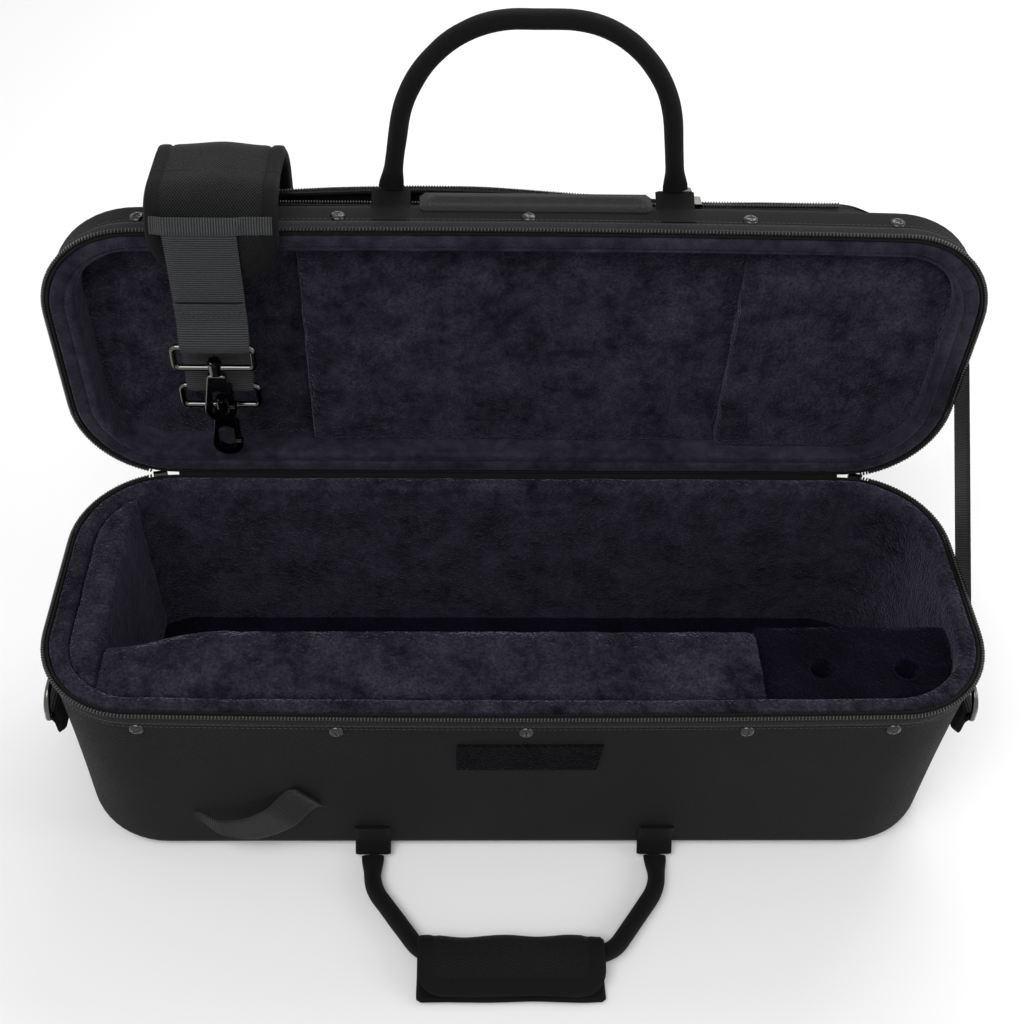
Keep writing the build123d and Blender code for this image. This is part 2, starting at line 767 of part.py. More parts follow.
# The stay is a band of webbing outside the right end wall that stops the lid past upright.
stay_plane = Plane(origin=(half_length, 0, 0), x_dir=(0, 1, 0), z_dir=(1, 0, 0))
stay_lid_point = on_lid(0, stay_lid_s, stay_lid_depth)
stay_run = Vector(stay_lid_point.Y, stay_lid_point.Z) - Vector(*stay_base_point)
stay_step = stay_run.normalized()
stay_low = Vector(*stay_base_point) - stay_step * (stay_base_sewn - stay_overlap)
stay_sewn_end = stay_low + stay_step * stay_base_sewn
stay_high = Vector(stay_lid_point.Y, stay_lid_point.Z) + stay_step * stay_width


def stay_band(start, end):
    """A stretch of the stay's outline, in the plane of the right end wall."""
    with BuildLine() as edge:
        Line((start.X, start.Y), (end.X, end.Y))
    trace(edge.edges(), line_width=stay_width)


def lid_strip(low_depth, high_depth, mode):
    """The part of the end wall between two depths of the lid."""
    corners = [on_lid(0, s, d) for s, d in ((0, low_depth), (0, high_depth))]
    corners += [on_lid(0, s, d) for s, d in ((case_depth, high_depth), (case_depth, low_depth))]
    with BuildLine() as edge:
        Polyline(*[(corner.Y, corner.Z) for corner in corners], close=True)
    make_face(edge.edges(), mode=mode)


with BuildPart() as stay_strap:
    with BuildSketch(stay_plane.offset(stay_stand_off)):
        stay_band(stay_low, stay_high)
        lid_strip(stay_lid_sewn[1], case_depth, Mode.SUBTRACT)
    extrude(amount=stay_thickness)
    with BuildSketch(stay_plane):
        stay_band(stay_low, stay_sewn_end)
    extrude(amount=stay_stand_off)
    with BuildSketch(stay_plane):
        stay_band(stay_low, stay_high)
        lid_strip(*stay_lid_sewn, Mode.INTERSECT)
    extrude(amount=stay_stand_off)
finish(stay_strap, "stay_strap")

# ---------------------------------------------------------------- lid handle
lid_handle_root = on_lid(lid_handle_centre_x, lid_handle_axis_s, lid_handle_axis_depth)
lid_handle_plane = Plane(origin=lid_handle_root, x_dir=(1, 0, 0), z_dir=lid_back * -1)
lid_handle_line = handle_path(
    lid_handle_plane, lid_handle_half_span, lid_handle_knee, lid_handle_reach, lid_handle_bends
)

with BuildPart() as lid_handle_tabs:
    for tab_x in (-lid_handle_half_span, lid_handle_half_span):
        tab_start = lid_handle_centre_x + tab_x - handle_tab_width / 2
        with BuildSketch(lid_side(tab_start)):
            with BuildLine():
                Polyline(
                    (lid_tab_front, case_depth),
                    (lid_depth - lid_edge_radius, case_depth),
                    (lid_handle_axis_depth + lid_tab_nose[0], lid_handle_axis_s - lid_tab_nose[1]),
                    (lid_handle_axis_depth - lid_tab_nose[0], lid_handle_axis_s + lid_tab_nose[1]),
                    (lid_depth - lid_edge_radius - lid_tab_step, case_depth + handle_tab_wall),
                    (lid_tab_front, case_depth + handle_tab_wall),
                    close=True,
                )
            make_face()
            with Locations((lid_handle_axis_depth, lid_handle_axis_s)):
                Circle(handle_nose_radius)
        extrude(amount=handle_tab_width)
finish(lid_handle_tabs, "lid_handle_tabs")

with BuildPart() as lid_handle:
    round_bar(lid_handle_line, handle_radius)
finish(lid_handle, "lid_handle")

with BuildPart() as lid_band:
    with BuildSketch(lid_side(band_left)):
        with BuildLine():
            band_foot = Line((band_front_depth, case_depth), (band_back_depth, case_depth))
            band_back = Line(band_foot @ 1, (band_back_depth, case_depth + band_edge))
            band_middle = ((band_front_depth + band_back_depth) / 2, case_depth + band_crown)
            band_front = (band_front_depth, case_depth + band_front_edge)
            band_top = ThreePointArc(band_back @ 1, band_middle, band_front)
            Line(band_top @ 1, band_foot @ 0)
        make_face()
    extrude(amount=band_right - band_left)
finish(lid_band, "lid_band")

# ---------------------------------------------------------------- pocket on the back of the lid
pocket_corners = [
    pocket_left_foot,
    pocket_left_corner,
    pocket_crown,
    pocket_right_turn,
    pocket_right_corner,
    pocket_right_foot,
]


def drawn_in(corners, margin):
    """The corners of an open outline moved in by margin, with its two ends kept at their depth."""
    points = [Vector(*corner) for corner in corners]
    inward = [(b - a).normalized().rotate(Axis.Z, -90) for a, b in zip(points, points[1:])]
    moved = [points[0] + Vector(margin / inward[0].X, 0)]
    for point, before, after in zip(points[1:], inward, inward[1:]):
        moved.append(point + (before + after) * (margin / (1 + before.dot(after))))
    moved.append(points[-1] + Vector(margin / inward[-1].X, 0))
    return [(point.X, point.Y) for point in moved]


def pocket_outline(margin, mode=Mode.ADD):
    """The pocket's bulging outline behind the lid, drawn in by margin."""
    corners = drawn_in(pocket_corners, margin)
    end_radius = pocket_corner_radius - margin
    radii = [end_radius, pocket_crown_radius - margin, pocket_turn_radius + margin, end_radius]
    with BuildLine() as edge:
        FilletPolyline(*corners, radius=radii)
        Line(corners[-1], corners[0])
    make_face(edge.edges(), mode=mode)


with BuildPart() as pocket_panel:
    with BuildSketch(lid_slice(pocket_bottom_s + pocket_wall)):
        pocket_outline(0)
        pocket_outline(pocket_wall, mode=Mode.SUBTRACT)
    extrude(amount=pocket_top_s - pocket_bottom_s - pocket_wall)
finish(pocket_panel, "pocket_panel")

with BuildPart() as pocket_bottom:
    with BuildSketch(lid_slice(pocket_bottom_s)):
        pocket_outline(0)
    extrude(amount=pocket_wall)
finish(pocket_bottom, "pocket_bottom")

pocket_tape_plane = lid_slice(pocket_top_s - pocket_wall)
pocket_seam_depth = (pocket_inner_chain_depth + pocket_outer_chain_depth) / 2
pocket_tape_margin = pocket_wall + pocket_tape_width


def half_space(inward):
    """Take away one side of the seam between the two halves of the pocket's top."""
    with Locations((0, pocket_seam_depth + inward * lid_depth)):
        Rectangle(case_length, 2 * lid_depth, mode=Mode.SUBTRACT)


with BuildPart() as pocket_inner_tape:
    with BuildSketch(pocket_tape_plane):
        pocket_outline(pocket_wall)
        half_space(1)
    extrude(amount=pocket_wall)
finish(pocket_inner_tape, "pocket_inner_tape")

# The outer half of the pocket's top is open at the left, where its zipper has been drawn back.
with BuildPart() as pocket_outer_tape:
    with BuildSketch(pocket_tape_plane):
        pocket_outline(pocket_wall)
        half_space(-1)
    extrude(amount=pocket_wall)
    with BuildSketch(pocket_tape_plane):
        with BuildLine():
            mouth_edge = FilletPolyline(
                (pocket_mouth_left, pocket_mouth_left_depth),
                (pocket_crown[0], pocket_crown[1] - pocket_tape_margin),
                (pocket_mouth_right, pocket_seam_depth),
                radius=pocket_crown_radius,
            )
            Polyline(mouth_edge @ 1, (pocket_mouth_right, 0), (pocket_mouth_left, 0), mouth_edge @ 0)
        make_face()
    extrude(amount=pocket_wall, mode=Mode.SUBTRACT)
finish(pocket_outer_tape, "pocket_outer_tape")

pocket_chain_plane = lid_slice(pocket_top_s + pocket_chain_radius)

with BuildPart() as pocket_inner_chain:
    with BuildLine(pocket_chain_plane) as chain_line:
        Line((pocket_mouth_left, pocket_inner_chain_depth), (pocket_chain_end, pocket_inner_chain_depth))
    round_bar(chain_line.line, pocket_chain_radius)
finish(pocket_inner_chain, "pocket_inner_chain")

with BuildPart() as pocket_outer_chain:
    with BuildLine(pocket_chain_plane) as chain_line:
        FilletPolyline(
            (pocket_mouth_left, pocket_mouth_left_depth + pocket_chain_radius),
            (pocket_crown[0], pocket_crown[1] - pocket_tape_margin + pocket_chain_radius),
            (pocket_mouth_right, pocket_outer_chain_depth),
            (pocket_chain_end, pocket_outer_chain_depth),
            radius=[pocket_crown_radius, pocket_chain_bend],
        )
    round_bar(chain_line.line, pocket_chain_radius)
finish(pocket_outer_chain, "pocket_outer_chain")

pocket_slider_low = pocket_top_s + pocket_slider_gap
pocket_slider_floor = pocket_slider_low + 2 * pocket_chain_radius
pocket_slider_top = pocket_slider_floor + pocket_slider_wall
pocket_pivot_s = pocket_slider_top + pocket_pin_stand
pocket_pivot = on_lid(pocket_mouth_right, pocket_pivot_s, pocket_seam_depth)
pocket_flange = pocket_inner_chain_depth - pocket_chain_radius - pocket_slider_inset
pocket_lip = pocket_outer_chain_depth + pocket_slider_lip

with BuildPart() as pocket_slider:
    with BuildSketch(lid_side(pocket_mouth_right)):
        with BuildLine():
            Polyline(
                (pocket_flange - pocket_slider_wall, pocket_slider_low),
                (pocket_flange, pocket_slider_low),
                (pocket_flange, pocket_slider_floor),
                (pocket_lip, pocket_slider_floor),
                (pocket_lip, pocket_slider_top),
                (pocket_flange - pocket_slider_wall, pocket_slider_top),
                close=True,
            )
        make_face()
    extrude(amount=pocket_slider_half_length, both=True)
    pull_bail(Plane(origin=pocket_pivot, x_dir=lid_back, z_dir=(1, 0, 0)), **pocket_bail)
finish(pocket_slider, "pocket_slider")

with BuildPart() as pocket_pull:
    droop = radians(pocket_pull_droop)
    pull_run = lid_back * cos(droop) - lid_up * sin(droop)
    pull_place = Plane(origin=pocket_pivot, x_dir=pull_run, z_dir=(1, 0, 0))
    pull_eye_and_plate(pull_place, **pocket_eye, **pocket_plate)
finish(pocket_pull, "pocket_pull")

# ---------------------------------------------------------------- shoulder strap, laid over the lid
strap_side = lid_side(pad_centre_x)


def strap_line(rear_s):
    """Centre line of the pad, up the front of the lid, over its edge and down the back."""
    with BuildLine(strap_side) as path:
        FilletPolyline(
            (pad_front_depth, pad_front_end_s),
            (pad_front_depth, pad_top_s),
            (pad_rear_depth, pad_top_s),
            (pad_rear_depth, rear_s),
            radius=pad_bend,
        )
    return path.line


def section_plane(path):
    """Plane across a strap's start: local x is X, local -y points away from the lid."""
    return Plane(origin=path @ 0, x_dir=(1, 0, 0), z_dir=path % 0)


def s_zone(low_s, high_s, low_depth, high_depth, mode):
    """A block of the space round the lid, used to trim a strap."""
    with BuildSketch(strap_side) as outline:
        with Locations(((low_depth + high_depth) / 2, (low_s + high_s) / 2)):
            Rectangle(high_depth - low_depth, high_s - low_s)
    extrude(outline.sketch, amount=pad_width, both=True, mode=mode)


def pad_sweep(rear_s):
    """The padded stretch of the strap, thickest along its middle."""
    path = strap_line(rear_s)
    half = pad_width / 2
    with BuildSketch(section_plane(path)) as outline:
        with BuildLine() as edge:
            front = ThreePointArc((-half, -pad_half_edge), (0, -pad_half_crown), (half, -pad_half_edge))
            rim = Line(front @ 1, (half, pad_half_edge))
            back = ThreePointArc(rim @ 1, (0, pad_half_crown), (-half, pad_half_edge))
            Line(back @ 1, front @ 0)
        make_face(edge.edges())
    sweep(outline.sketch, path=path)


def round_pad_end(depth, end_s, inward):
    """Round off the two corners at an end of the pad."""
    with BuildSketch(lid_face(depth)) as outline:
        with Locations((pad_centre_x, end_s + inward * pad_end_radius / 2)):
            Rectangle(pad_width + 4, pad_end_radius)
        with Locations((pad_centre_x, end_s + inward * pad_width)):
            RectangleRounded(pad_width, 2 * pad_width, pad_end_radius, mode=Mode.SUBTRACT)
    extrude(outline.sketch, amount=2 * pad_half_crown, both=True, mode=Mode.SUBTRACT)


def pad_band_sweep(low_s, high_s, low_depth, high_depth):
    """A flat band across the pad that holds the webbing down."""
    path = strap_line(pad_rear_end_s)
    half = pad_band_width / 2
    low = pad_half_edge + pad_band_lift
    high = pad_half_crown + web_thickness + 2 * web_gap
    inner = [(-half, -low), (pad_band_flat[0], -high), (pad_band_flat[1], -high), (half, -low)]
    outer = [(x, y - pad_band_thickness) for x, y in reversed(inner)]
    with BuildSketch(section_plane(path)) as outline:
        with BuildLine() as edge:
            Polyline(*inner, *outer, close=True)
        make_face(edge.edges())
    sweep(outline.sketch, path=path)
    s_zone(low_s, high_s, low_depth, high_depth, Mode.INTERSECT)


with BuildPart() as strap_pad:
    pad_sweep(pad_rear_end_s)
    s_zone(0, pad_split_s, -lid_depth, pad_bend, Mode.SUBTRACT)
    round_pad_end(pad_rear_depth, pad_rear_end_s, 1)
finish(strap_pad, "strap_pad")

with BuildPart() as strap_pad_front:
    pad_sweep(pad_rear_end_s)
    s_zone(0, pad_split_s, -lid_depth, pad_bend, Mode.INTERSECT)
    round_pad_end(pad_front_depth, pad_front_end_s, 1)
finish(strap_pad_front, "strap_pad_front")

with BuildPart() as pad_band_front:
    pad_band_sweep(*pad_front_band, -lid_depth, 0)
finish(pad_band_front, "pad_band_front")

with BuildPart() as pad_band_rear:
    pad_band_sweep(*pad_rear_band, pad_rear_depth, case_depth)
finish(pad_band_rear, "pad_band_rear")

web_loop_radius = strap_ring_wire + ring_loop_gap
front_web_depth = pad_front_depth - pad_half_crown - web_gap / 2 - web_thickness / 2
under_web_depth = pad_front_depth + pad_half_crown + under_web_gap + web_thickness / 2
under_web_top_s = pad_top_s - (under_web_depth - pad_front_depth)
under_web_rear = pad_rear_depth - (under_web_depth - pad_front_depth)
rear_outer_depth = pad_rear_depth + pad_half_crown + web_gap + web_thickness / 2
under_web_bend = pad_bend - (under_web_depth - pad_front_depth)


def web_sweep(centre_x, points, radii):
    """Webbing along a route in a plane square to X."""
    with BuildLine(lid_side(centre_x)) as path:
        FilletPolyline(*points, radius=radii)
    with BuildSketch(section_plane(path.line)) as outline:
        Rectangle(web_width, web_thickness)
    sweep(outline.sketch, path=path.line)


def web_loop(centre_x, ring_s, ring_depth):
    """The turn of webbing round a ring's upper bar."""
    with BuildSketch(lid_side(centre_x)) as outline:
        with Locations((ring_depth, ring_s)):
            Circle(web_loop_radius + web_thickness)
    extrude(outline.sketch, amount=web_width / 2, both=True)
    with BuildSketch(lid_side(centre_x)) as outline:
        with Locations((ring_depth, ring_s)):
            Circle(web_loop_radius)
    extrude(outline.sketch, amount=web_width, both=True, mode=Mode.SUBTRACT)


front_ring_s = hook_places[0][1] - strap_ring_wire
front_ring_depth = hook_places[0][2]
under_ring_s = hook_places[1][1] - strap_ring_wire
under_ring_depth = hook_places[1][2]

with BuildPart() as strap_web_front:
    rise_s = pad_top_s - (front_web_depth - pad_front_depth)
    front_points = [(front_web_depth, front_ring_s), (front_web_depth, rise_s), (pad_bend * 2, rise_s)]
    web_sweep(front_web_x, front_points, [pad_bend - (front_web_depth - pad_front_depth)])
    s_zone(0, front_web_top_s, -lid_depth, 0, Mode.INTERSECT)
    web_loop(front_web_x, front_ring_s, front_ring_depth)
finish(strap_web_front, "strap_web_front")

with BuildPart() as strap_web_inner:
    inner_points = [(under_web_depth, under_ring_s + under_web_end), (under_web_depth, under_web_top_s)]
    web_sweep(under_web_x, [*inner_points, (pad_bend * 2, under_web_top_s)], [under_web_bend])
    s_zone(0, pad_split_s, -lid_depth, lid_depth, Mode.INTERSECT)
    web_loop(under_web_x, under_ring_s, under_ring_depth)
finish(strap_web_inner, "strap_web_inner")

with BuildPart() as strap_web_rear:
    rear_points = [
        (under_web_depth, pad_front_end_s),
        (under_web_depth, under_web_top_s),
        (under_web_rear, under_web_top_s),
        (under_web_rear, rear_turn_s),
        (rear_outer_depth, rear_turn_s),
        (rear_outer_depth, rear_web_top_s),
    ]
    rear_radius = (rear_outer_depth - under_web_rear) / 2 - web_gap
    web_sweep(under_web_x, rear_points, [under_web_bend, under_web_bend, rear_radius, rear_radius])
    s_zone(0, pad_split_s, -lid_depth, pad_bend, Mode.SUBTRACT)
finish(strap_web_rear, "strap_web_rear")

with BuildPart() as strap_keeper:
    with BuildSketch(lid_slice(keeper_s[0])):
        with Locations((under_web_x, rear_outer_depth)):
            RectangleRounded(
                web_width + keeper_frame[0], web_thickness + keeper_frame[1], keeper_corner
            )
            Rectangle(
                web_width + keeper_slot[0], web_thickness + keeper_slot[1], mode=Mode.SUBTRACT
            )
    extrude(amount=keeper_s[1] - keeper_s[0])
finish(strap_keeper, "strap_keeper")


# ---------------------------------------------------------------- rings, swivel hooks and gates
def ring_with_barrel(x, top_s, depth):
    """A rectangular strap ring with the hook's swivel barrel on its lower bar."""
    half = strap_ring_width / 2 - strap_ring_wire
    high = top_s - strap_ring_wire
    low = top_s - strap_ring_height + strap_ring_wire
    with BuildLine(lid_face(depth)) as path:
        FilletPolyline(
            (x - half, low),
            (x + half, low),
            (x + half, high),
            (x - half, high),
            radius=strap_ring_corner,
            close=True,
        )
    round_bar(path.line, strap_ring_wire)
    with BuildSketch(lid_slice(barrel_bottom(top_s))) as outline:
        with Locations((x, depth)):
            Circle(barrel_radius)
    extrude(outline.sketch, amount=barrel_length)
    with BuildSketch(lid_slice(low - barrel_length)) as outline:
        with Locations((x, depth)):
            Circle(swivel_bore_radius)
    extrude(outline.sketch, amount=2 * barrel_length, mode=Mode.SUBTRACT)


def barrel_bottom(top_s):
    """The height on the lid of the lower end of a ring's swivel barrel."""
    return top_s - strap_ring_height + strap_ring_wire - barrel_length / 2


def hook_and_swivel(piece, x, top_s, depth):
    """The hook's body with its gate slot, pivot pin, and the swivel stem through the ring."""
    body_top = barrel_bottom(top_s) - barrel_gap
    bottom = body_top - hook_height
    stem_top = barrel_bottom(top_s) + barrel_length + swivel_head_gap
    face = lid_face(depth)
    out = Axis(face.origin, face.z_dir)
    half_width = hook_width / 2
    with BuildSketch(face.offset(-hook_thickness / 2)) as outline:
        with Locations((x, bottom + half_width)):
            Circle(half_width)
        with Locations((x, body_top - hook_top[1] / 2)):
            RectangleRounded(*hook_top, hook_top_corner)
        make_hull()
    extrude(outline.sketch, amount=hook_thickness)
    fillet(piece.edges().group_by(out)[-1] + piece.edges().group_by(out)[0], hook_edge_radius)
    with BuildSketch(face) as outline:
        with Locations((x, bottom + hook_slot_rise)):
            SlotOverall(*hook_slot, rotation=90)
        with Locations((x + hook_mouth_place[0], bottom + hook_mouth_place[1])):
            Rectangle(*hook_mouth)
    extrude(outline.sketch, amount=hook_thickness, both=True, mode=Mode.SUBTRACT)
    with BuildSketch(face) as outline:
        with Locations((x + gate_slot_place[0], bottom + gate_slot_place[1])):
            Rectangle(*gate_slot)
    gate_room = gate_thickness / 2 + gate_slot_gap
    extrude(outline.sketch, amount=gate_room, both=True, mode=Mode.SUBTRACT)
    with BuildSketch(face) as outline:
        with Locations((x + gate_pivot[0], bottom + gate_pivot[1])):
            Circle(gate_pin_radius)
    extrude(outline.sketch, amount=hook_thickness / 2, both=True)
    with BuildSketch(lid_slice(body_top - swivel_root)) as outline:
        with Locations((x, depth)):
            Circle(swivel_radius)
    extrude(outline.sketch, amount=stem_top - body_top + swivel_root)
    with BuildSketch(lid_slice(stem_top)) as outline:
        with Locations((x, depth)):
            Circle(swivel_head_radius)
    extrude(outline.sketch, amount=swivel_head_height)


def gate_lever(x, top_s, depth):
    """The sprung gate that closes the hook's mouth."""
    bottom = barrel_bottom(top_s) - barrel_gap - hook_height
    pivot = (x + gate_pivot[0], bottom + gate_pivot[1])
    with BuildSketch(lid_face(depth)) as outline:
        with Locations(pivot):
            Circle(gate_eye_radius)
        with Locations((x + gate_arm_place[0], bottom + gate_arm_place[1])):
            RectangleRounded(*gate_arm, gate_arm_corner)
        with Locations(pivot):
            Circle(gate_hole_radius, mode=Mode.SUBTRACT)
    extrude(outline.sketch, amount=gate_thickness / 2, both=True)


for number, place in enumerate(hook_places, start=1):
    with BuildPart() as strap_ring:
        ring_with_barrel(*place)
    finish(strap_ring, f"strap_ring_{number}")

    with BuildPart() as hook:
        hook_and_swivel(hook, *place)
    finish(hook, f"hook_{number}")

    with BuildPart() as gate:
        gate_lever(*place)
    finish(gate, f"gate_{number}")
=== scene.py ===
import math
from collections import namedtuple

import bmesh
import bpy
from mathutils import Matrix, Vector, noise


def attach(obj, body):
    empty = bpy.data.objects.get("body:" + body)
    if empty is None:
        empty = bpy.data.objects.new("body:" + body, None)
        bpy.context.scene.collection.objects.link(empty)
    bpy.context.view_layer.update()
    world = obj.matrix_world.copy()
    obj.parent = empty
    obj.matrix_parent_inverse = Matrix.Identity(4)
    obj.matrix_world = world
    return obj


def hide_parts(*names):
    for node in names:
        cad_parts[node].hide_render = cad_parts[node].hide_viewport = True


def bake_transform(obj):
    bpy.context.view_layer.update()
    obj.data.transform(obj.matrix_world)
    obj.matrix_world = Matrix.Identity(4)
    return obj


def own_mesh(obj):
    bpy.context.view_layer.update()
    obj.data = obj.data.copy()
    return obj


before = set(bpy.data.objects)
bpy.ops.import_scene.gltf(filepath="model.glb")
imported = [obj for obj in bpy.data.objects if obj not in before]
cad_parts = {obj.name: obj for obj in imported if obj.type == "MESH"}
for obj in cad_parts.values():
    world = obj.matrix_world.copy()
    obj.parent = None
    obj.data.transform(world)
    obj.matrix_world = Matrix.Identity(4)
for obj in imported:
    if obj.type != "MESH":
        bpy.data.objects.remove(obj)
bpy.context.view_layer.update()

# Trumpet case, open. A piece is shaped in millimetres and turned into metres when it is finished.
# On the base, x runs along the case and y towards the hinge. On the lid, s is the height above
# the hinge edge and depth the distance behind the rim plane.

# ---------------------------------------------------------------- sizes
METRE = 0.001
case_half = (270.0, 91.0)
corner_radius = 56.0
straight_half = case_half[0] - corner_radius
base_height = 150.0
lid_depth = 32.0
case_depth = 182.0
bottom_edge = 10.0
lid_edge = 8.0
cover_wall = 2.0
# The free walls swell out by rim_bow at their middle, and the base's end walls draw in by end_hollow.
rim_bow = 2.2
end_hollow = 1.1
floor_pad_top = 16.0
recess_half = (253.0, 76.5)
recess_centre = 2.5
recess_radius = 40.0
recess_floor = -25.9

rivet_x = (-212.0, -101.0, 5.0, 129.0, 212.0)
rivet_drop = 16.0
# The zipper: the station where its tape begins, the distance where its chain begins, and its two seams
# below the rim.
tape_start = 31
chain_start = 228.0
tooth_pitch = 1.9
tooth_out = 1.6
tooth_size = (0.68, 1.3, 1.25)
pocket_tooth_size = (0.6, 1.1, 1.05)
tape_seam = 8.9
cover_seam = 13.4
stitch_size = (1.15, 0.28, 0.24)
stitch_rise = 0.05
handle_radius = 5.75
tab_half = 11.0
web_half = 20.0
web_thick = 0.75
strap_x = -167.0
front_web_x = -173.0
under_web_x = -176.0
# The bar of each strap ring, as s and depth, and how far the webbing turns from its middle.
ring_bar = (116.0, -16.0)
under_ring_bar = (76.5, -3.0)
bar_turn = 2.9
block_inset = 12.1
block_foot = 15.5
# Further from an edge than any point of a band.
far_in = 99

# ---------------------------------------------------------------- places
lean = math.radians(1.5)
along = Vector((1, 0, 0))
straight_up = Vector((0, 0, 1))
to_front = Vector((0, -1, 0))
lid_up = Vector((0, math.sin(lean), math.cos(lean)))
lid_back = Vector((0, math.cos(lean), -math.sin(lean)))
hinge_gap = 0.6
hinge_line = Vector((0, case_half[1], base_height + hinge_gap))


def on_lid(x, s, depth):
    """A point of the open lid."""
    return hinge_line + along * x + lid_back * (hinge_gap + depth) + lid_up * s


def place_of(x_axis, y_axis, z_axis, origin):
    """The matrix that carries a piece's own axes to these."""
    turn = Matrix((x_axis, y_axis, z_axis)).transposed().to_4x4()
    return Matrix.Translation(origin) @ turn


base_place = Matrix()
lid_place = place_of(along, lid_up, -lid_back, on_lid(0, case_half[1], 0))


def ease(value, low, high):
    """0 below low, 1 above high and a smooth step between them."""
    share = min(1.0, max(0.0, (value - low) / (high - low)))
    return share * share * (3 - 2 * share)


# ---------------------------------------------------------------- finishes
class Value:
    """A shader socket that takes part in arithmetic."""

    def __init__(self, finish, socket):
        self.finish = finish
        self.socket = socket

    def math(self, operation, *others):
        sockets = dict(enumerate((self, *others)))
        return self.finish.node("Math", {"operation": operation}, sockets)

    def __add__(self, other):
        return self.math("ADD", other)

    def __mul__(self, other):
        return self.math("MULTIPLY", other)

    def __sub__(self, other):
        return self.math("SUBTRACT", other)

    def __rsub__(self, other):
        return self.finish.node("Math", {"operation": "SUBTRACT"}, {0: other, 1: self})

    __radd__ = __add__
    __rmul__ = __mul__


class Finish:
    """A material: its principled shader and the nodes that feed it."""

    def __init__(self, name, slot, **sockets):
        self.slot = slot
        self.material = bpy.data.materials.new(name)
        self.material.use_nodes = True
        self.tree = self.material.node_tree
        self.shader = self.tree.nodes["Principled BSDF"]
        for label, value in sockets.items():
            self.feed(label.replace("_", " "), value)

    def join(self, socket, value):
        if isinstance(value, Value):
            self.tree.links.new(value.socket, socket)
        else:
            socket.default_value = value

    def feed(self, label, value):
        self.join(self.shader.inputs[label], value)

    def node(self, kind, settings, sockets, output=0):
        made = self.tree.nodes.new("ShaderNode" + kind)
        for label, value in settings.items():
            setattr(made, label, value)
        for label, value in sockets.items():
            self.join(made.inputs[label], value)
        return Value(self, made.outputs[output])

    def weave_place(self):
        """Distance along and across the cloth, in millimetres."""
        spot = self.node("UVMap", {"uv_map": "weave"}, {})
        return [self.node("SeparateXYZ", {}, {0: spot}, output) for output in (0, 1)]

    def body_place(self):
        """The place on the object, in metres."""
        return self.node("TexCoord", {}, {}, 3)

    def clouds(self, size, detail=2.0):
        """Soft patches about size across, in metres, from 0 to 1."""
        sockets = {"Vector": self.body_place(), "Scale": 1 / size, "Detail": detail}
        return self.node("TexNoise", {}, sockets)

    def mix(self, share, low, high):
        sockets = {0: share, 6: (*low, 1), 7: (*high, 1)}
        return self.node("Mix", {"data_type": "RGBA"}, sockets, 2)

    def dress(self, share, dark, light, roughness, height, relief):
        """Feeds the colour, from dark to light by share, the roughness and the relief."""
        self.feed("Base Color", self.mix(share, dark, light))
        self.feed("Roughness", roughness)
        self.feed("Normal", self.node("Bump", {}, {"Height": height, "Distance": relief}))
        return self


def wave(value, pitch):
    """A ridge of height 0 to 1 every pitch."""
    return (value * (math.pi / pitch)).math("SINE").math("ABSOLUTE")


def contrast(value, gain):
    """Spreads a value about its middle."""
    return ((value - 0.5) * gain + 0.5).math("MINIMUM", 1.0).math("MAXIMUM", 0.0)


def woven(name, slot, pitch, dark, light, roughness, relief):
    """Plain cloth whose threads cross on the diagonal."""
    finish = Finish(name, slot, Specular_IOR_Level=0.08, Sheen_Weight=0.02, Sheen_Roughness=0.4)
    u, v = finish.weave_place()
    threads = wave(u + v * 0.9, pitch) * wave(u - v * 0.9, pitch)
    patches = contrast(finish.clouds(0.05), 2.0)
    fuzz = contrast(finish.clouds(0.0011, 1.0), 1.6)
    lightness = threads * (0.62 + 0.38 * patches) * (0.5 + 0.5 * fuzz)
    rough = roughness + 0.12 * patches - 0.1 * threads
    return finish.dress(lightness, dark, light, rough, threads + 0.3 * fuzz, relief)


def ribbed(name, slot, pitch, dark, light):
    """Webbing with ribs square to its length and fine threads along them."""
    finish = Finish(name, slot, Specular_IOR_Level=0.16, Sheen_Weight=0.03, Sheen_Roughness=0.4)
    u, v = finish.weave_place()
    ribs = wave(v, pitch)
    threads = wave(u + v * 0.5, 0.75)
    fuzz = contrast(finish.clouds(0.0014, 1.0), 1.5)
    lightness = ribs * (0.6 + 0.4 * threads) * (0.6 + 0.4 * fuzz)
    rough = 0.62 - 0.14 * ribs + 0.1 * fuzz
    return finish.dress(lightness, dark, light, rough, ribs + 0.35 * threads, 0.0004)


def herringbone(name, slot, pitch, column, dark, light):
    """Tape woven in slanting threads that turn back at each column."""
    finish = Finish(name, slot, Specular_IOR_Level=0.12, Sheen_Weight=0.02)
    u, v = finish.weave_place()
    zigzag = (v * (math.pi / column)).math("SINE").math("ARCSINE") * (column / math.pi)
    threads = wave(u + zigzag * 1.6, pitch)
    fuzz = contrast(finish.clouds(0.0012, 1.0), 1.5)
    lightness = threads * (0.5 + 0.5 * fuzz)
    return finish.dress(lightness, dark, light, 0.68 - 0.12 * threads, threads, 0.0003)


def pile(name, slot, dark, light, nap, relief, sheen=0.16):
    """Plush: brushed patches of nap over fine fibres."""
    finish = Finish(name, slot, Specular_IOR_Level=0.06, Sheen_Weight=sheen, Sheen_Roughness=0.35)
    finish.feed("Sheen Tint", (0.72, 0.7, 1.0, 1.0))
    patches = contrast(finish.clouds(0.026, 3.0), 3.4)
    tufts = contrast(finish.clouds(0.007, 3.0), 3.0)
    fibres = contrast(finish.clouds(0.0016, 1.0), 2.4)
    lightness = (0.08 + 0.5 * patches + 0.42 * tufts) * ((1 - nap) + nap * fibres)
    return finish.dress(lightness, dark, light, 0.85 + 0.12 * tufts, tufts * 0.8 + fibres, relief)


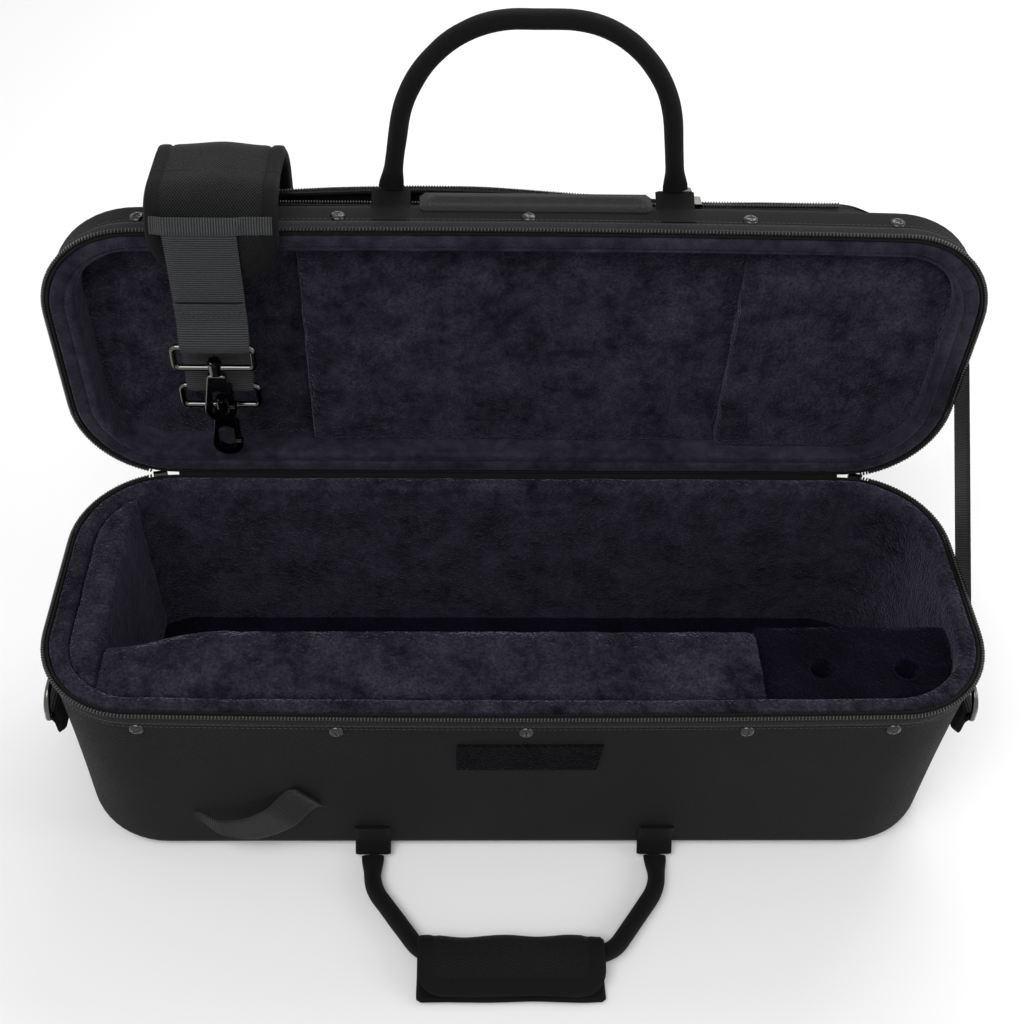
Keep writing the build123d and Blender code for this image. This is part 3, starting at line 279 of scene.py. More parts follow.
def metal(name, slot, colour, roughness, coat):
    """Plated metal with faint rubbed patches."""
    finish = Finish(name, slot, Metallic=1.0, Coat_Weight=coat, Coat_Roughness=0.08)
    rubbed = contrast(finish.clouds(0.004, 3.0), 1.8)
    grain = finish.clouds(0.0012, 2.0)
    dark = [0.8 * c for c in colour]
    return finish.dress(rubbed, dark, colour, roughness + 0.08 * rubbed, grain, 0.00003)


def moulded(name, slot, dark, light, roughness):
    """Nylon or plastic with a slight grain."""
    finish = Finish(name, slot, Specular_IOR_Level=0.55)
    grain = contrast(finish.clouds(0.0015, 2.0), 1.8)
    return finish.dress(grain, dark, light, roughness + 0.1 * grain, grain, 0.00005)


black, cover_grey = (0.0012, 0.0012, 0.0013), (0.016, 0.016, 0.0155)
nylon = woven("nylon_cover", "cover_fabric", 1.5, black, cover_grey, 0.65, 0.0003)
hinge_nylon = woven("hinge_nylon", "hinge_cloth", 1.5, black, cover_grey, 0.65, 0.0003)
ballistic = woven("ballistic_pad", "ballistic_pad", 1.7, black, (0.024, 0.025, 0.026), 0.55, 0.0005)
binding = woven("pad_binding", "ballistic_pad", 0.9, black, (0.014, 0.014, 0.015), 0.65, 0.0002)
tube_cloth = woven("handle_cloth", "handle_tube", 1.0, black, (0.014, 0.014, 0.015), 0.65, 0.0003)
tab_cloth = woven("tab_cloth", "webbing", 1.0, black, (0.011, 0.011, 0.012), 0.65, 0.0003)
webbing = ribbed("ribbed_webbing", "webbing", 1.45, (0.003, 0.003, 0.0035), (0.066, 0.069, 0.071))
dark_webbing = ribbed("dark_webbing", "webbing", 1.45, black, (0.02, 0.02, 0.021))
tape_cloth = herringbone("tape_cloth", "zipper_tape", 0.9, 2.2, black, (0.02, 0.02, 0.021))
band_cloth = herringbone("band_cloth", "webbing", 1.7, 5.0, (0.003, 0.003, 0.003), (0.04, 0.04, 0.04))
plush = pile("plush", "plush", (0.001, 0.0008, 0.0025), (0.042, 0.038, 0.056), 0.6, 0.0007)
# Far darker plush colours: on the base's floor they are painted shade at the bottom of the well; the
# mouthpiece holder and its bore rims use them too.
dark_plush_and_well_shade = pile("dark_plush_and_well_shade", "plush", (0.0003, 0.0002, 0.001), (0.006, 0.005, 0.014), 0.7, 0.0007, 0.03)
brushed_dark, brushed_light = (0.005, 0.005, 0.009), (0.036, 0.034, 0.048)
border_plush = pile("border_plush", "border_plush", brushed_dark, brushed_light, 0.35, 0.0004)
loop_dark, loop_light = (0.0005, 0.0005, 0.0006), (0.009, 0.009, 0.0105)
loop_pile = pile("loop_pile", "hook_and_loop", loop_dark, loop_light, 0.9, 0.0012, 0.02)
coil_nylon = moulded("coil_nylon", "zipper_coil", (0.004, 0.004, 0.005), (0.02, 0.02, 0.024), 0.22)
thread = moulded("sewing_thread", "webbing", (0.003, 0.003, 0.003), (0.014, 0.014, 0.015), 0.5)
black_nickel = metal("black_nickel", "black_metal", (0.075, 0.07, 0.065), 0.12, 0.7)
rivet_steel = metal("rivet_steel", "rivet_metal", (0.03, 0.03, 0.03), 0.2, 0.4)
keeper_resin = moulded("keeper_resin", "keeper_plastic", (0.004, 0.004, 0.005), (0.012, 0.012, 0.013), 0.4)
board = moulded("frame_board", "frame_board", (0.004, 0.004, 0.004), (0.01, 0.01, 0.01), 0.8)


# ---------------------------------------------------------------- making and finishing pieces
def piece(bm, name, finish, body=None, replaced=(), place=base_place, second=None):
    """Turns a mesh in millimetres into a finished piece of the object."""
    bmesh.ops.recalc_face_normals(bm, faces=bm.faces)
    bmesh.ops.transform(bm, matrix=Matrix.Scale(METRE, 4) @ place, verts=bm.verts)
    mesh = bpy.data.meshes.new(name)
    bm.to_mesh(mesh)
    bm.free()
    mesh.materials.append(finish.material)
    if second:
        mesh.materials.append(second.material)
    mesh.shade_smooth()
    mesh.set_sharp_from_angle(angle=math.radians(60))
    made = bpy.data.objects.new(name, mesh)
    bpy.context.scene.collection.objects.link(made)
    if body:
        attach(made, body)
    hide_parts(*replaced)
    return made


def cloth(columns, rows, spot):
    """A grid carried into place: spot gives each point's place, its place on the weave and its finish."""
    bm = bmesh.new()
    bmesh.ops.create_grid(bm, x_segments=columns, y_segments=rows, size=0.5)
    spots = {vert: spot(vert.co.x + 0.5, vert.co.y + 0.5) for vert in bm.verts}
    weave = bm.loops.layers.uv.new("weave")
    for face in bm.faces:
        face.material_index = round(sum(spots[vert][2] for vert in face.verts) / len(face.verts))
        for loop in face.loops:
            loop[weave].uv = spots[loop.vert][1]
    for vert, (place, _, _) in spots.items():
        vert.co = place
    bmesh.ops.remove_doubles(bm, verts=bm.verts, dist=0.01)
    return bm


def close_ends(bm):
    """Fills the open ends of a tube."""
    rim = [edge for edge in bm.edges if edge.is_boundary]
    bmesh.ops.holes_fill(bm, edges=rim, sides=0)
    return bm


def gather(parts):
    """One mesh made of several."""
    bm = bmesh.new()
    for part in parts:
        held = bpy.data.meshes.new("held")
        part.to_mesh(held)
        part.free()
        bm.from_mesh(held)
        bpy.data.meshes.remove(held)
    return bm


def flat_weave(bm, faces):
    """Lays the weave flat on faces that lie along x and y."""
    layers = bm.loops.layers.uv
    weave = layers.get("weave") or layers.new("weave")
    for face in faces:
        for loop in face.loops:
            loop[weave].uv = loop.vert.co.xy


def rumple(bm, size, amount, seed=0.0):
    """Moves each point along its normal by smooth noise."""
    bm.normal_update()
    for vert in bm.verts:
        shift = noise.noise(vert.co / size + Vector((seed, seed * 2, 0)))
        vert.co += vert.normal * shift * amount
    return bm


# ---------------------------------------------------------------- outlines
def rounded_line(half_x, half_y, radius, centre_y=0.0, flip=1):
    """Stations round a rounded rectangle from the middle of its hinge side: place, way out, distance."""
    x, y = half_x - radius, half_y - radius
    keys = [(0, y, 90), (x, y, 90), (x, y, 0), (x, -y, 0), (x, -y, -90), (-x, -y, -90), (-x, -y, -180)]
    keys += [(-x, y, -180), (-x, y, -270), (0, y, -270)]
    counts = (28, 14, 12, 14, 56, 14, 12, 14, 28)
    anchors = []
    for start, end, count in zip(keys, keys[1:], counts):
        anchors += [Vector(start).lerp(Vector(end), step / count) for step in range(count)]
    anchors.append(Vector(keys[-1]))
    line = []
    distance = 0.0
    for x, y, angle in anchors:
        out = Vector((math.cos(math.radians(angle)), math.sin(math.radians(angle)) * flip))
        point = Vector((x, y * flip + centre_y)) + out * radius
        if line:
            distance += (point - line[-1][0]).length
        line.append((point, out, distance))
    return line


base_line = rounded_line(*case_half, corner_radius)
lid_line = rounded_line(*case_half, corner_radius, flip=-1)
recess_line = rounded_line(*recess_half, recess_radius, recess_centre, flip=-1)
line_steps = len(base_line) - 1

# free is the side of y that a half's free wall is on, low the height at which that wall's swell begins.
Half = namedtuple("Half", "body line rim height edge free low place")
base_half = Half("base", base_line, base_height, base_height, bottom_edge, -1, 60, base_place)
lid_half = Half("lid", lid_line, 0.0, lid_depth, lid_edge, 1, -300, lid_place)


def shell(profile, start=0):
    """A skin whose rows each follow an outline, so far out of it, at a height."""
    rows = len(profile) - 1
    columns = line_steps - 2 * start
    run = [0.0]
    for (_, out, height), (_, next_out, next_height) in zip(profile, profile[1:]):
        run.append(run[-1] + math.hypot(next_out - out, next_height - height))

    def spot(u, v):
        column, row = start + round(u * columns), round(v * rows)
        line, out, height = profile[row]
        point, outward, distance = line[column]
        flat = point + outward * out
        return Vector((flat.x, flat.y, height)), (distance, run[row]), 0

    return cloth(columns, rows, spot)


def bow_at(x):
    """How far a free wall stands out at x, at its rim."""
    return rim_bow * max(0.0, 1 - (x / straight_half) ** 2)


def bow(half, x, y):
    """How far a point of the rim moves in y with the swell of the half's free wall."""
    return half.free * bow_at(x) * max(0.0, half.free * y / case_half[1])


def bow_out(bm, half):
    """Swells the half's free wall out at the middle of its rim."""
    for vert in bm.verts:
        x, y, z = vert.co
        vert.co.y += bow(half, x, y) * ease(z, half.low, half.low + 80)


def at(line, distance):
    """The place and the way out at a distance along an outline."""
    for (point, out, start), (next_point, next_out, end) in zip(line, line[1:]):
        if distance <= end:
            share = (distance - start) / (end - start)
            return point.lerp(next_point, share), out.lerp(next_out, share).normalized()
    return line[-1][0], line[-1][1]


def on(line, rim, section):
    """Rows for shell that all follow one outline: each so far out of it and above the rim."""
    return [(line, out, rim + rise) for out, rise in section]


# ---------------------------------------------------------------- routes
def rounded_route(corners, radii, step):
    """Points along a flat route whose corners are arcs, about step apart."""
    points = [Vector(corners[0])]
    for before, corner, after, radius in zip(corners, corners[1:], corners[2:], radii):
        corner = Vector(corner)
        back = (Vector(before) - corner).normalized()
        on = (Vector(after) - corner).normalized()
        turn = math.pi - back.angle(on)
        start = corner + back * radius * math.tan(turn / 2)
        centre = corner + (back + on).normalized() * radius / math.cos(turn / 2)
        way = 1 if on.x * back.y - on.y * back.x > 0 else -1
        count = max(3, math.ceil(radius * turn / step))
        for share in range(count + 1):
            spoke = Matrix.Rotation(way * turn * share / count, 2) @ (start - centre)
            points.append(centre + spoke)
    points.append(Vector(corners[-1]))
    route = [points[0]]
    for start, end in zip(points, points[1:]):
        length = (end - start).length
        if length > 0.01:
            count = max(1, round(length / step))
            route += [start.lerp(end, share / count) for share in range(1, count + 1)]
    return route


def stations(points, place):
    """Place, way out and distance at each point of a flat route: place carries it to the object."""
    turn = place.to_3x3()
    found = []
    distance = 0.0
    for index, point in enumerate(points):
        before, after = points[max(0, index - 1)], points[min(len(points) - 1, index + 1)]
        ahead = (after - before).normalized()
        if index:
            distance += (point - points[index - 1]).length
        out = turn @ Vector((-ahead.y, ahead.x, 0))
        found.append((place @ point.to_3d(), out, distance))
    return found


def rim_distance(across, ahead, behind, half, radii):
    """Distance in from the edge of a band whose ends may have rounded corners."""
    nearest = min(half - abs(across), ahead, behind)
    for radius, end in ((radii[0], ahead), (radii[1], behind)):
        if radius and end < radius and abs(across) > half - radius:
            nearest = min(nearest, radius - math.hypot(abs(across) - half + radius, radius - end))
    return max(0.0, nearest)


def half_at(end, half, radius):
    """Half the width of a band at a distance from an end with rounded corners."""
    if radius and end < radius:
        return half - radius + math.sqrt(max(0.0, radius**2 - (radius - end) ** 2))
    return half


def there_and_back(u):
    """For a section that runs over a sheet and back under it: the share across it, and 1 above, -1 below."""
    return (2 * u, 1) if u < 0.5 else (2 - 2 * u, -1)


def band(
    line, side, half, thick, roll, radii=(0, 0), columns=28, seam=None, groove=0.0, crown=0.0, part=None
):
    """A padded or plain band along stations: rolled edges, and a sewn seam that sets off its border."""
    total = line[-1][2]
    shown = line[part[0]:part[1]] if part else line
    rows = len(shown) - 1

    def spot(u, v):
        point, out, distance = shown[round(v * rows)]
        ahead, behind = distance, total - distance
        width = min(half_at(ahead, half, radii[0]), half_at(behind, half, radii[1]))
        share, face = there_and_back(u)
        across = (2 * share - 1) * width
        ends = (ahead if radii[0] else far_in, behind if radii[1] else far_in)
        edge = rim_distance(across, *ends, half, radii)
        rise = thick * math.sqrt(1 - (1 - min(1.0, edge / roll)) ** 2)
        border = 1 if seam and edge < seam else 0
        if seam:
            rise -= groove * math.exp(-(((edge - seam) / 1.1) ** 2))
            rise += crown * ease(edge, seam, half)
        return point + side * across + out * rise * face, (across, distance), border

    return close_ends(cloth(2 * columns, rows, spot))


def ball():
    """The points and faces of a coarse ball."""
    bm = bmesh.new()
    bmesh.ops.create_uvsphere(bm, u_segments=8, v_segments=5, radius=1)
    bm.verts.index_update()
    points = [vert.co.copy() for vert in bm.verts]
    corners = [[vert.index for vert in face.verts] for face in bm.faces]
    bm.free()
    return points, corners


ball_points, ball_corners = ball()


def beads(places, size):
    """Small beads at places given as matrices, each stretched to size."""
    bm = bmesh.new()
    grown = [point * Vector(size) for point in ball_points]
    for place in places:
        verts = [bm.verts.new(place @ point) for point in grown]
        for corners in ball_corners:
            bm.faces.new([verts[index] for index in corners])
    return bm


def walk(points, pitch):
    """Steps along points: each step's place, the way ahead and the number of its stretch."""
    carry = 0.0
    for number, (start, end) in enumerate(zip(points, points[1:])):
        span = (end - start).length
        if span < 1e-6:
            continue
        ahead = (end - start) / span
        spot = carry
        while spot < span:
            yield start + ahead * spot, ahead, number
            spot += pitch
        carry = spot - span


def stitches(points, lift, name, body, pitch, place=base_place):
    """A row of thread stitches along points, standing a little out of the cloth along lift."""
    places = []
    for point, ahead, _ in walk(points, pitch):
        side = lift.cross(ahead).normalized()
        places.append(place_of(ahead, side, ahead.cross(side), point + lift * stitch_rise))
    return piece(beads(places, stitch_size), name, thread, body, place=place)


# ---------------------------------------------------------------- covers
def cover_profile(half):
    """Rows of a cover, from its inner floor up over the lip and down to its outer floor."""
    line, rim, edge = half.line, half.rim, half.edge
    low = rim - half.height
    reach = -edge - 24
    rows = [(line, reach, low + cover_wall), (line, -edge - cover_wall, low + cover_wall)]
    inner = edge - cover_wall
    for step in range(1, 5):
        turn = math.radians(22.5 * step)
        rows.append((line, -cover_wall - inner * (1 - math.sin(turn)), low + edge - inner * math.cos(turn)))
    rows += [(line, -cover_wall, rim - 6), (line, -cover_wall + 0.3, rim - 0.8), (line, -1.2, rim - 0.1)]
    rows += [(line, -0.3, rim - 0.3), (line, 0, rim - 1)]
    walls = max(3, round(half.height / 9))
    top, bottom = rim - 1, low + edge
    rows += [(line, 0, top + (bottom - top) * step / walls) for step in range(1, walls + 1)]
    for step in range(1, 7):
        turn = math.radians(15 * step)
        rows.append((line, -edge * (1 - math.cos(turn)), bottom - edge * math.sin(turn)))
    rows.append((line, reach, low))
    return rows


def hollow_ends(bm):
    """Draws the base's end walls in a little, most at half their height."""
    for vert in bm.verts:
        x, _, z = vert.co
        pull = end_hollow * math.sin(math.pi * z / base_height) * ease(abs(x), straight_half, 262)
        vert.co.x -= math.copysign(pull, x)


def cover(half):
    """The fabric shell of one half."""
    bm = shell(cover_profile(half))
    bow_out(bm, half)
    if half is base_half:
        hollow_ends(bm)
    rim_edges = [edge for edge in bm.edges if edge.is_boundary]
    caps = bmesh.ops.holes_fill(bm, edges=rim_edges, sides=0)["faces"]
    flat_weave(bm, caps)
    bmesh.ops.triangulate(bm, faces=caps, quad_method="BEAUTY", ngon_method="BEAUTY")
    return piece(bm, half.body + "_fabric", nylon, half.body, [half.body + "_cover"], half.place)


cover(base_half)
cover(lid_half)


# ---------------------------------------------------------------- zipper tapes, chains and rim stitching
def rim_run(half, section, name, nodes=()):
    """Zipper cloth round the rim."""
    bm = shell(on(half.line, half.rim, section), tape_start)
    bow_out(bm, half)
    return piece(close_ends(bm), f"{half.body}_{name}", tape_cloth, half.body, nodes, half.place)


def rim_point(half, point, out, reach, drop):
    """The place reach out of the outline and drop below the rim."""
    flat = point + out * reach
    return Vector((flat.x, flat.y + bow(half, flat.x, flat.y), half.rim - drop))


def rim_teeth(half):
    """Coil teeth of half of the chain, round the rim."""
    tilt = Matrix.Rotation(math.radians(14), 4, "Z")
    places = []
    for index in range(int((half.line[-1][2] - 2 * chain_start) / tooth_pitch)):
        point, out = at(half.line, chain_start + index * tooth_pitch)
        outward = out.to_3d()
        spot = rim_point(half, point, out, tooth_out, 1.0)
        places.append(place_of(straight_up.cross(outward), outward, straight_up, spot) @ tilt)
    bm = beads(places, tooth_size)
    return piece(bm, half.body + "_coil", coil_nylon, half.body, [half.body + "_zipper_chain"], half.place)


def rim_stitches(half, drop, reach, name):
    """Thread round the rim, so far below it."""
    stretch = half.line[tape_start:line_steps - tape_start + 1]
    points = [rim_point(half, point, out, reach, drop) for point, out, _ in stretch]
    return stitches(points, straight_up, f"{half.body}_{name}", half.body, 3.0, half.place)


# The tape has a raised welt along its sewn edge.
tape_section = [(0.05, -2.2), (0.7, -2.0), (0.95, -2.6), (0.8, -4.6), (0.55, -5.2), (0.8, -5.9), (1.0, -7.4)]
tape_section += [(0.95, -9.6), (0.6, -10.9), (0.05, -11.3), (0.0, -6.0), (0.05, -2.2)]
cord_section = [(0.5, -0.6), (1.6, -0.1), (2.5, -0.9), (2.3, -1.9), (1.2, -2.1), (0.5, -1.6), (0.5, -0.6)]
for half in (base_half, lid_half):
    rim_run(half, tape_section, "tape", [half.body + "_zipper_tape"])
    rim_teeth(half)
    rim_run(half, cord_section, "coil_cord")
    rim_stitches(half, tape_seam, 0.98, "rim_stitching")
    rim_stitches(half, cover_seam, 0.05, "cover_stitching")


# ---------------------------------------------------------------- padded inside of the base
# The padded wall has a rolled rim, a face and a back.
wall_section = [(-2.2, -4), (-2.3, -1), (-3.2, -0.2), (-6, 0), (-8.8, -0.1), (-10.6, -0.9), (-11.7, -2.4)]
wall_section += [(-12, -4.5 - 8 * step) for step in range(17)]
wall_section += [(-12, -140), (-6.1, -140), (-6.1, -5), (-2.2, -4)]
bm = shell(on(base_line, base_height, wall_section))
bow_out(bm, base_half)
rumple(bm, 22.0, 0.5)
piece(bm, "base_plush_wall", plush, "base", ["base_lining"])


def plush_block(line, inset, low, high, spans, cut, soften, seed, shape=None):
    """A foam block in plush, cut from an outline: spans are its limits in x and y."""
    bm = bmesh.new()
    rim = [bm.verts.new((*(point + out * -inset), low)) for point, out, _ in line[:-1]]
    floor = bm.faces.new(rim)
    raised = bmesh.ops.extrude_face_region(bm, geom=[floor])["geom"]
    lifted = [item for item in raised if isinstance(item, bmesh.types.BMVert)]
    bmesh.ops.translate(bm, vec=(0, 0, high - low), verts=lifted)
    for axis, side, limit in spans:
        normal = Vector((side, 0, 0)) if axis == "x" else Vector((0, side, 0))
        point = normal * limit * side
        geom = [*bm.verts, *bm.edges, *bm.faces]
        bmesh.ops.bisect_plane(bm, geom=geom, plane_co=point, plane_no=normal, clear_outer=True)
        rims = [edge for edge in bm.edges if edge.is_boundary]
        bmesh.ops.holes_fill(bm, edges=rims, sides=0)
    corners = [vert.co for vert in bm.verts]
    for axis in range(3):
        first, last = min(c[axis] for c in corners), max(c[axis] for c in corners)
        count = max(2, round((last - first) / cut))
        normal = Vector([1.0 if index == axis else 0.0 for index in range(3)])
        for step in range(1, count):
            geom = [*bm.verts, *bm.edges, *bm.faces]
            point = normal * (first + (last - first) * step / count)
            bmesh.ops.bisect_plane(bm, geom=geom, plane_co=point, plane_no=normal)
    bmesh.ops.triangulate(bm, faces=[face for face in bm.faces if len(face.verts) > 4])
    every = {"use_axis_x": True, "use_axis_y": True, "use_axis_z": True}
    for _ in range(soften):
        bmesh.ops.smooth_vert(bm, verts=bm.verts, factor=0.5, **every)
    if shape:
        for vert in bm.verts:
            vert.co = shape(vert.co.copy())
    rumple(bm, 16.0, 0.9, seed)
    flat_weave(bm, bm.faces)
    return bm


# Faces of the foam blocks: the end block's in x, the split of the front row in x, and that row's two in y.
block_faces = {"low": -237.0, "split": 142.0, "front": -31.0, "holder": -21.0}


def scoop(co):
    """The front block's inner face curves away towards its left end."""
    reach = ease(-co.x, 176, 232)
    co.y -= 12 * reach * ease(co.y, -76, block_faces["front"])
    return co


# The floor's plush is painted much darker than the walls' plush: painted shade at the bottom of the well.
bm = plush_block(base_line, 11.8, 6, floor_pad_top, [], 12, 0, 1.0)
piece(bm, "floor_plush", dark_plush_and_well_shade, "base", ["floor_pad"])
end_limits = [("x", 1, block_faces["low"])]
bm = plush_block(base_line, block_inset, block_foot, 148.6, end_limits, 7, 2, 2.0)
piece(bm, "end_plush", plush, "base", ["end_block"])
front_limits = [("x", -1, block_faces["low"]), ("x", 1, block_faces["split"]), ("y", 1, block_faces["front"])]
bm = plush_block(base_line, block_inset, block_foot, 147.8, front_limits, 7, 2, 3.0, scoop)
piece(bm, "front_plush", plush, "base", ["front_block"])


def bored(block, places, radius, low, high):
    """Cuts round holes down into a finished block."""
    cutter_mesh = bpy.data.meshes.new("bore_cutter")
    bm = bmesh.new()
    for x, y in places:
        middle = Matrix.Translation((x * METRE, y * METRE, (low + high) / 2 * METRE))
        size = radius * METRE
        depth = (high - low) * METRE
        bmesh.ops.create_cone(
            bm, cap_ends=True, segments=40, radius1=size, radius2=size, depth=depth, matrix=middle
        )
    bm.to_mesh(cutter_mesh)
    bm.free()
    cutter = bpy.data.objects.new("bore_cutter", cutter_mesh)
    bpy.context.scene.collection.objects.link(cutter)
    cut = block.modifiers.new("bores", "BOOLEAN")
    cut.operation = "DIFFERENCE"
    cut.object = cutter
    cut.solver = "EXACT"
    view = bpy.context.evaluated_depsgraph_get()
    carved = bpy.data.meshes.new_from_object(block.evaluated_get(view))
    block.modifiers.clear()
    block.data = carved
    bpy.data.objects.remove(cutter)


holder_limits = [("x", -1, block_faces["split"]), ("y", 1, block_faces["holder"])]
bm = plush_block(base_line, block_inset, block_foot, 138.8, holder_limits, 5, 2, 4.0)
holder = piece(bm, "holder_plush", dark_plush_and_well_shade, "base", ["mouthpiece_block"])
holder_bores = [(178.0, -53.0), (227.0, -53.0)]
bored(holder, holder_bores, radius=7.0, low=66, high=150)


def bore_rim(centre, name):
    """The plush rolls over at a bore's mouth."""
    def spot(u, v):
        around, across = 2 * math.pi * u, 2 * math.pi * v
        reach = 8.2 + 1.3 * math.cos(across)
        place = Vector((reach * math.cos(around), reach * math.sin(around), 1.0 * math.sin(across)))
        return place + Vector((*centre, 138.0)), (u * 50, v * 8), 0

    bm = cloth(40, 10, spot)
    return piece(rumple(bm, 4.0, 0.3), name, dark_plush_and_well_shade, "base")


for side_name, centre in zip(("left", "right"), holder_bores):
    bore_rim(centre, "bore_rim_" + side_name)


# ---------------------------------------------------------------- padded inside of the lid
# The border's section runs from its outer lip over a shallow crease, into the recess and back behind.
lip = [(-6.1, -5), (-2.2, -4), (-2.3, -1), (-3.2, -0.2), (-6, 0), (-9.2, -0.3), (-10.4, -1.5), (-11.6, -0.4)]
recess = [(2.6, -0.1), (1.2, -0.8), (0.4, -2.0)]
recess += [(0, -4 - 4.4 * step) for step in range(5)] + [(0, -24)]
back = [(-6.1, -24), (-6.1, -5)]
bm = shell(on(lid_line, 0, lip) + on(recess_line, 0, recess) + on(lid_line, 0, back))
bow_out(bm, lid_half)
piece(rumple(bm, 24.0, 0.45), "lid_plush_border", border_plush, "lid", ["lid_border"], lid_place)


def pillow(low_x, high_x, top):
    """Crowns a lid panel between its edges."""
    def shape(co):
        across = (co.x - (low_x + high_x) / 2) / ((high_x - low_x) / 2)
        upright = (co.y - recess_centre) / recess_half[1]
        if co.z > top - 3:
            co.z += 1.3 * (1 - across**2) * (1 - upright**2)
        return co

    return shape


lid_panels = (
    ("left", -256.0, -125.6, -21.0),
    ("centre", -126.6, 131.6, -14.0),
    ("right", 130.4, 256.0, -9.0),
)
for number, (side_name, low_x, high_x, top) in enumerate(lid_panels):
    limits = [("x", -1, low_x), ("x", 1, high_x)]
    shape = pillow(low_x, high_x, top)
    bm = plush_block(recess_line, -1.4, recess_floor, top + 0.8, limits, 7, 2, 5.0 + number, shape)
    piece(bm, f"lid_plush_{side_name}", plush, "lid", [f"lid_panel_{side_name}"], lid_place)


# ---------------------------------------------------------------- rivets
def rivet_head(place):
    """A domed head with a cross cut into it."""
    radius, height = 4.3, 1.9

    def spot(u, v):
        around, reach = 2 * math.pi * u, radius * v
        x, y = reach * math.cos(around), reach * math.sin(around)
        rise = height * math.sqrt(max(0.0, 1 - v**2.4))
        slot = ease(min(abs(x), abs(y)), 0.25, 0.6)
        rise -= (1 - slot) * 0.75 * (1 - ease(reach, 2.0, 2.6))
        return place @ Vector((x, y, rise)), (x, y), 0

    return cloth(48, 16, spot)


front_y = -case_half[1]
rivets = {"base": [], "lid": []}
for x in rivet_x:
    turn = Matrix.Rotation(math.radians(x * 0.7), 4, "Z")
    spot = Vector((x, front_y - bow_at(x), base_height - rivet_drop))
    rivets["base"].append(place_of(along, straight_up, to_front, spot) @ turn)
    spot = on_lid(x, case_depth + bow_at(x), rivet_drop)
    rivets["lid"].append(place_of(along, -lid_back, lid_up, spot) @ turn)
for body, places in rivets.items():
    bm = gather([rivet_head(place) for place in places])
    piece(close_ends(bm), body + "_rivet_heads", rivet_steel, body, [body + "_rivets"])


# ---------------------------------------------------------------- carrying handles
def handle_route(half_span, knee, reach, radii):
    """A handle's centre line from one root to the other."""
    right = [(half_span, 2.5), knee, reach]
    left = [(-x, y) for x, y in right]
    return rounded_route([*left, *reversed(right)], [*radii, *reversed(radii)], 3.0)


def handle(line, side, name, body, node):
    """A rolled cloth tube, gathered flat at its roots, with a folded seam along its outside."""
    rows = len(line) - 1
    total = line[-1][2]

    def spot(u, v):
        point, out, distance = line[round(v * rows)]
        angle = 2 * math.pi * u
        root = ease(min(distance, total - distance), 1, 14)
        ridge = 0.9 * math.exp(-(((angle - math.pi) / 0.16) ** 2))
        ridge -= 0.5 * math.exp(-((abs(angle - math.pi) - 0.42) / 0.12) ** 2)
        reach = handle_radius - 0.5 + ridge * root
        flat = side * math.cos(angle) * (0.45 + 0.55 * root)
        wide = out * math.sin(angle) * (1.35 - 0.35 * root)
        return point + (flat + wide) * reach, (u * 36, distance), 0

    bm = close_ends(cloth(40, rows, spot))
    return piece(rumple(bm, 14.0, 0.25, 3.0), name, tube_cloth, body, [node])


rise = math.radians(2.4)
handle_out = Vector((0, -math.cos(rise), math.sin(rise)))
handle_over = along.cross(handle_out) * -1
base_root = Vector((2.5, -98.5, 6.2))
base_handle_place = place_of(along, handle_out, handle_over * -1, base_root)
base_route = handle_route(88.0, (87.5, 24.0), (56.0, 67.0), [30, 20])
base_stations = stations(base_route, base_handle_place)
handle(base_stations, handle_over, "base_handle_tube", "base_handle", "base_handle")

lid_root = on_lid(8, 188, 35)
lid_handle_place = place_of(along, lid_up, -lid_back, lid_root)
lid_route = handle_route(80.0, (71.0, 66.0), (36.0, 102.0), [75, 58])
lid_stations = stations(lid_route, lid_handle_place)
handle(lid_stations, lid_back * -1, "lid_handle_tube", "lid_handle", "lid_handle")

side_places = {
    "base": place_of(Vector((0, 1, 0)), straight_up, along, Vector()),
    "lid": place_of(lid_back, lid_up, along, on_lid(0, 0, 0)),
}


def tab_bands(route, centres, name, body, node):
    """Webbing tabs that hold a handle's roots."""
    places = [Matrix.Translation((centre, 0, 0)) @ side_places[body] for centre in centres]
    tabs = [band(stations(route, place), along, tab_half, 1.2, 1.0, columns=12) for place in places]
    return piece(gather(tabs), name, tab_cloth, body, [node])


base_tab = rounded_route([(-98.6, 5.0), (-92.4, 12.6), (-92.4, 27.0)], [6], 1.5)
tab_bands(base_tab, (-85.5, 90.5), "base_handle_webs", "base", "base_handle_tabs")
lid_tab = rounded_route([(12.0, 183.3), (25.0, 183.3), (35.6, 188.6)], [8], 1.5)
tab_bands(lid_tab, (-72.0, 88.0), "lid_handle_webs", "lid", "lid_handle_tabs")


# ---------------------------------------------------------------- padded wrap on the base handle
# The wrap's section runs from its lower front edge, round behind the handle, to its upper front edge.
wrap_corners = [(93.0, -6.2), (70.0, -8.4), (58.6, -8.0), (58.6, 8.0), (72.0, 7.6), (91.5, -2.6)]
wrap_points = rounded_route(wrap_corners, [30, 6.6, 6.6, 16], 1.6)
wrap_place = place_of(handle_out, handle_over, handle_out.cross(handle_over), base_root)
wrap_middle = Vector((-4.0, 0, 0))
wrap_line = stations(wrap_points, wrap_place)
wrap_line = [(point + wrap_middle, -out, distance) for point, out, distance in wrap_line]
wrap_look = dict(radii=(2.5, 15.0), columns=60, seam=10.0, groove=0.7, crown=0.5)
bm = band(wrap_line, along, half=55.0, thick=1.35, roll=1.6, **wrap_look)
# Behind the handle its cloth ripples, and none of it sinks into the floor.
ripple_reach, ripple_length = 66, 6.5
floor_clear = 0.2
for vert in bm.verts:
    if (vert.co - base_root).dot(handle_out) < ripple_reach:
        vert.co += handle_out * 0.7 * math.sin(vert.co.x / ripple_length)
rumple(bm, 26.0, 1.1, 7.0)
for vert in bm.verts:
    vert.co.z = max(vert.co.z, floor_clear)
piece(bm, "handle_wrap_pad", ballistic, "base_handle", ["handle_wrap"], second=binding)


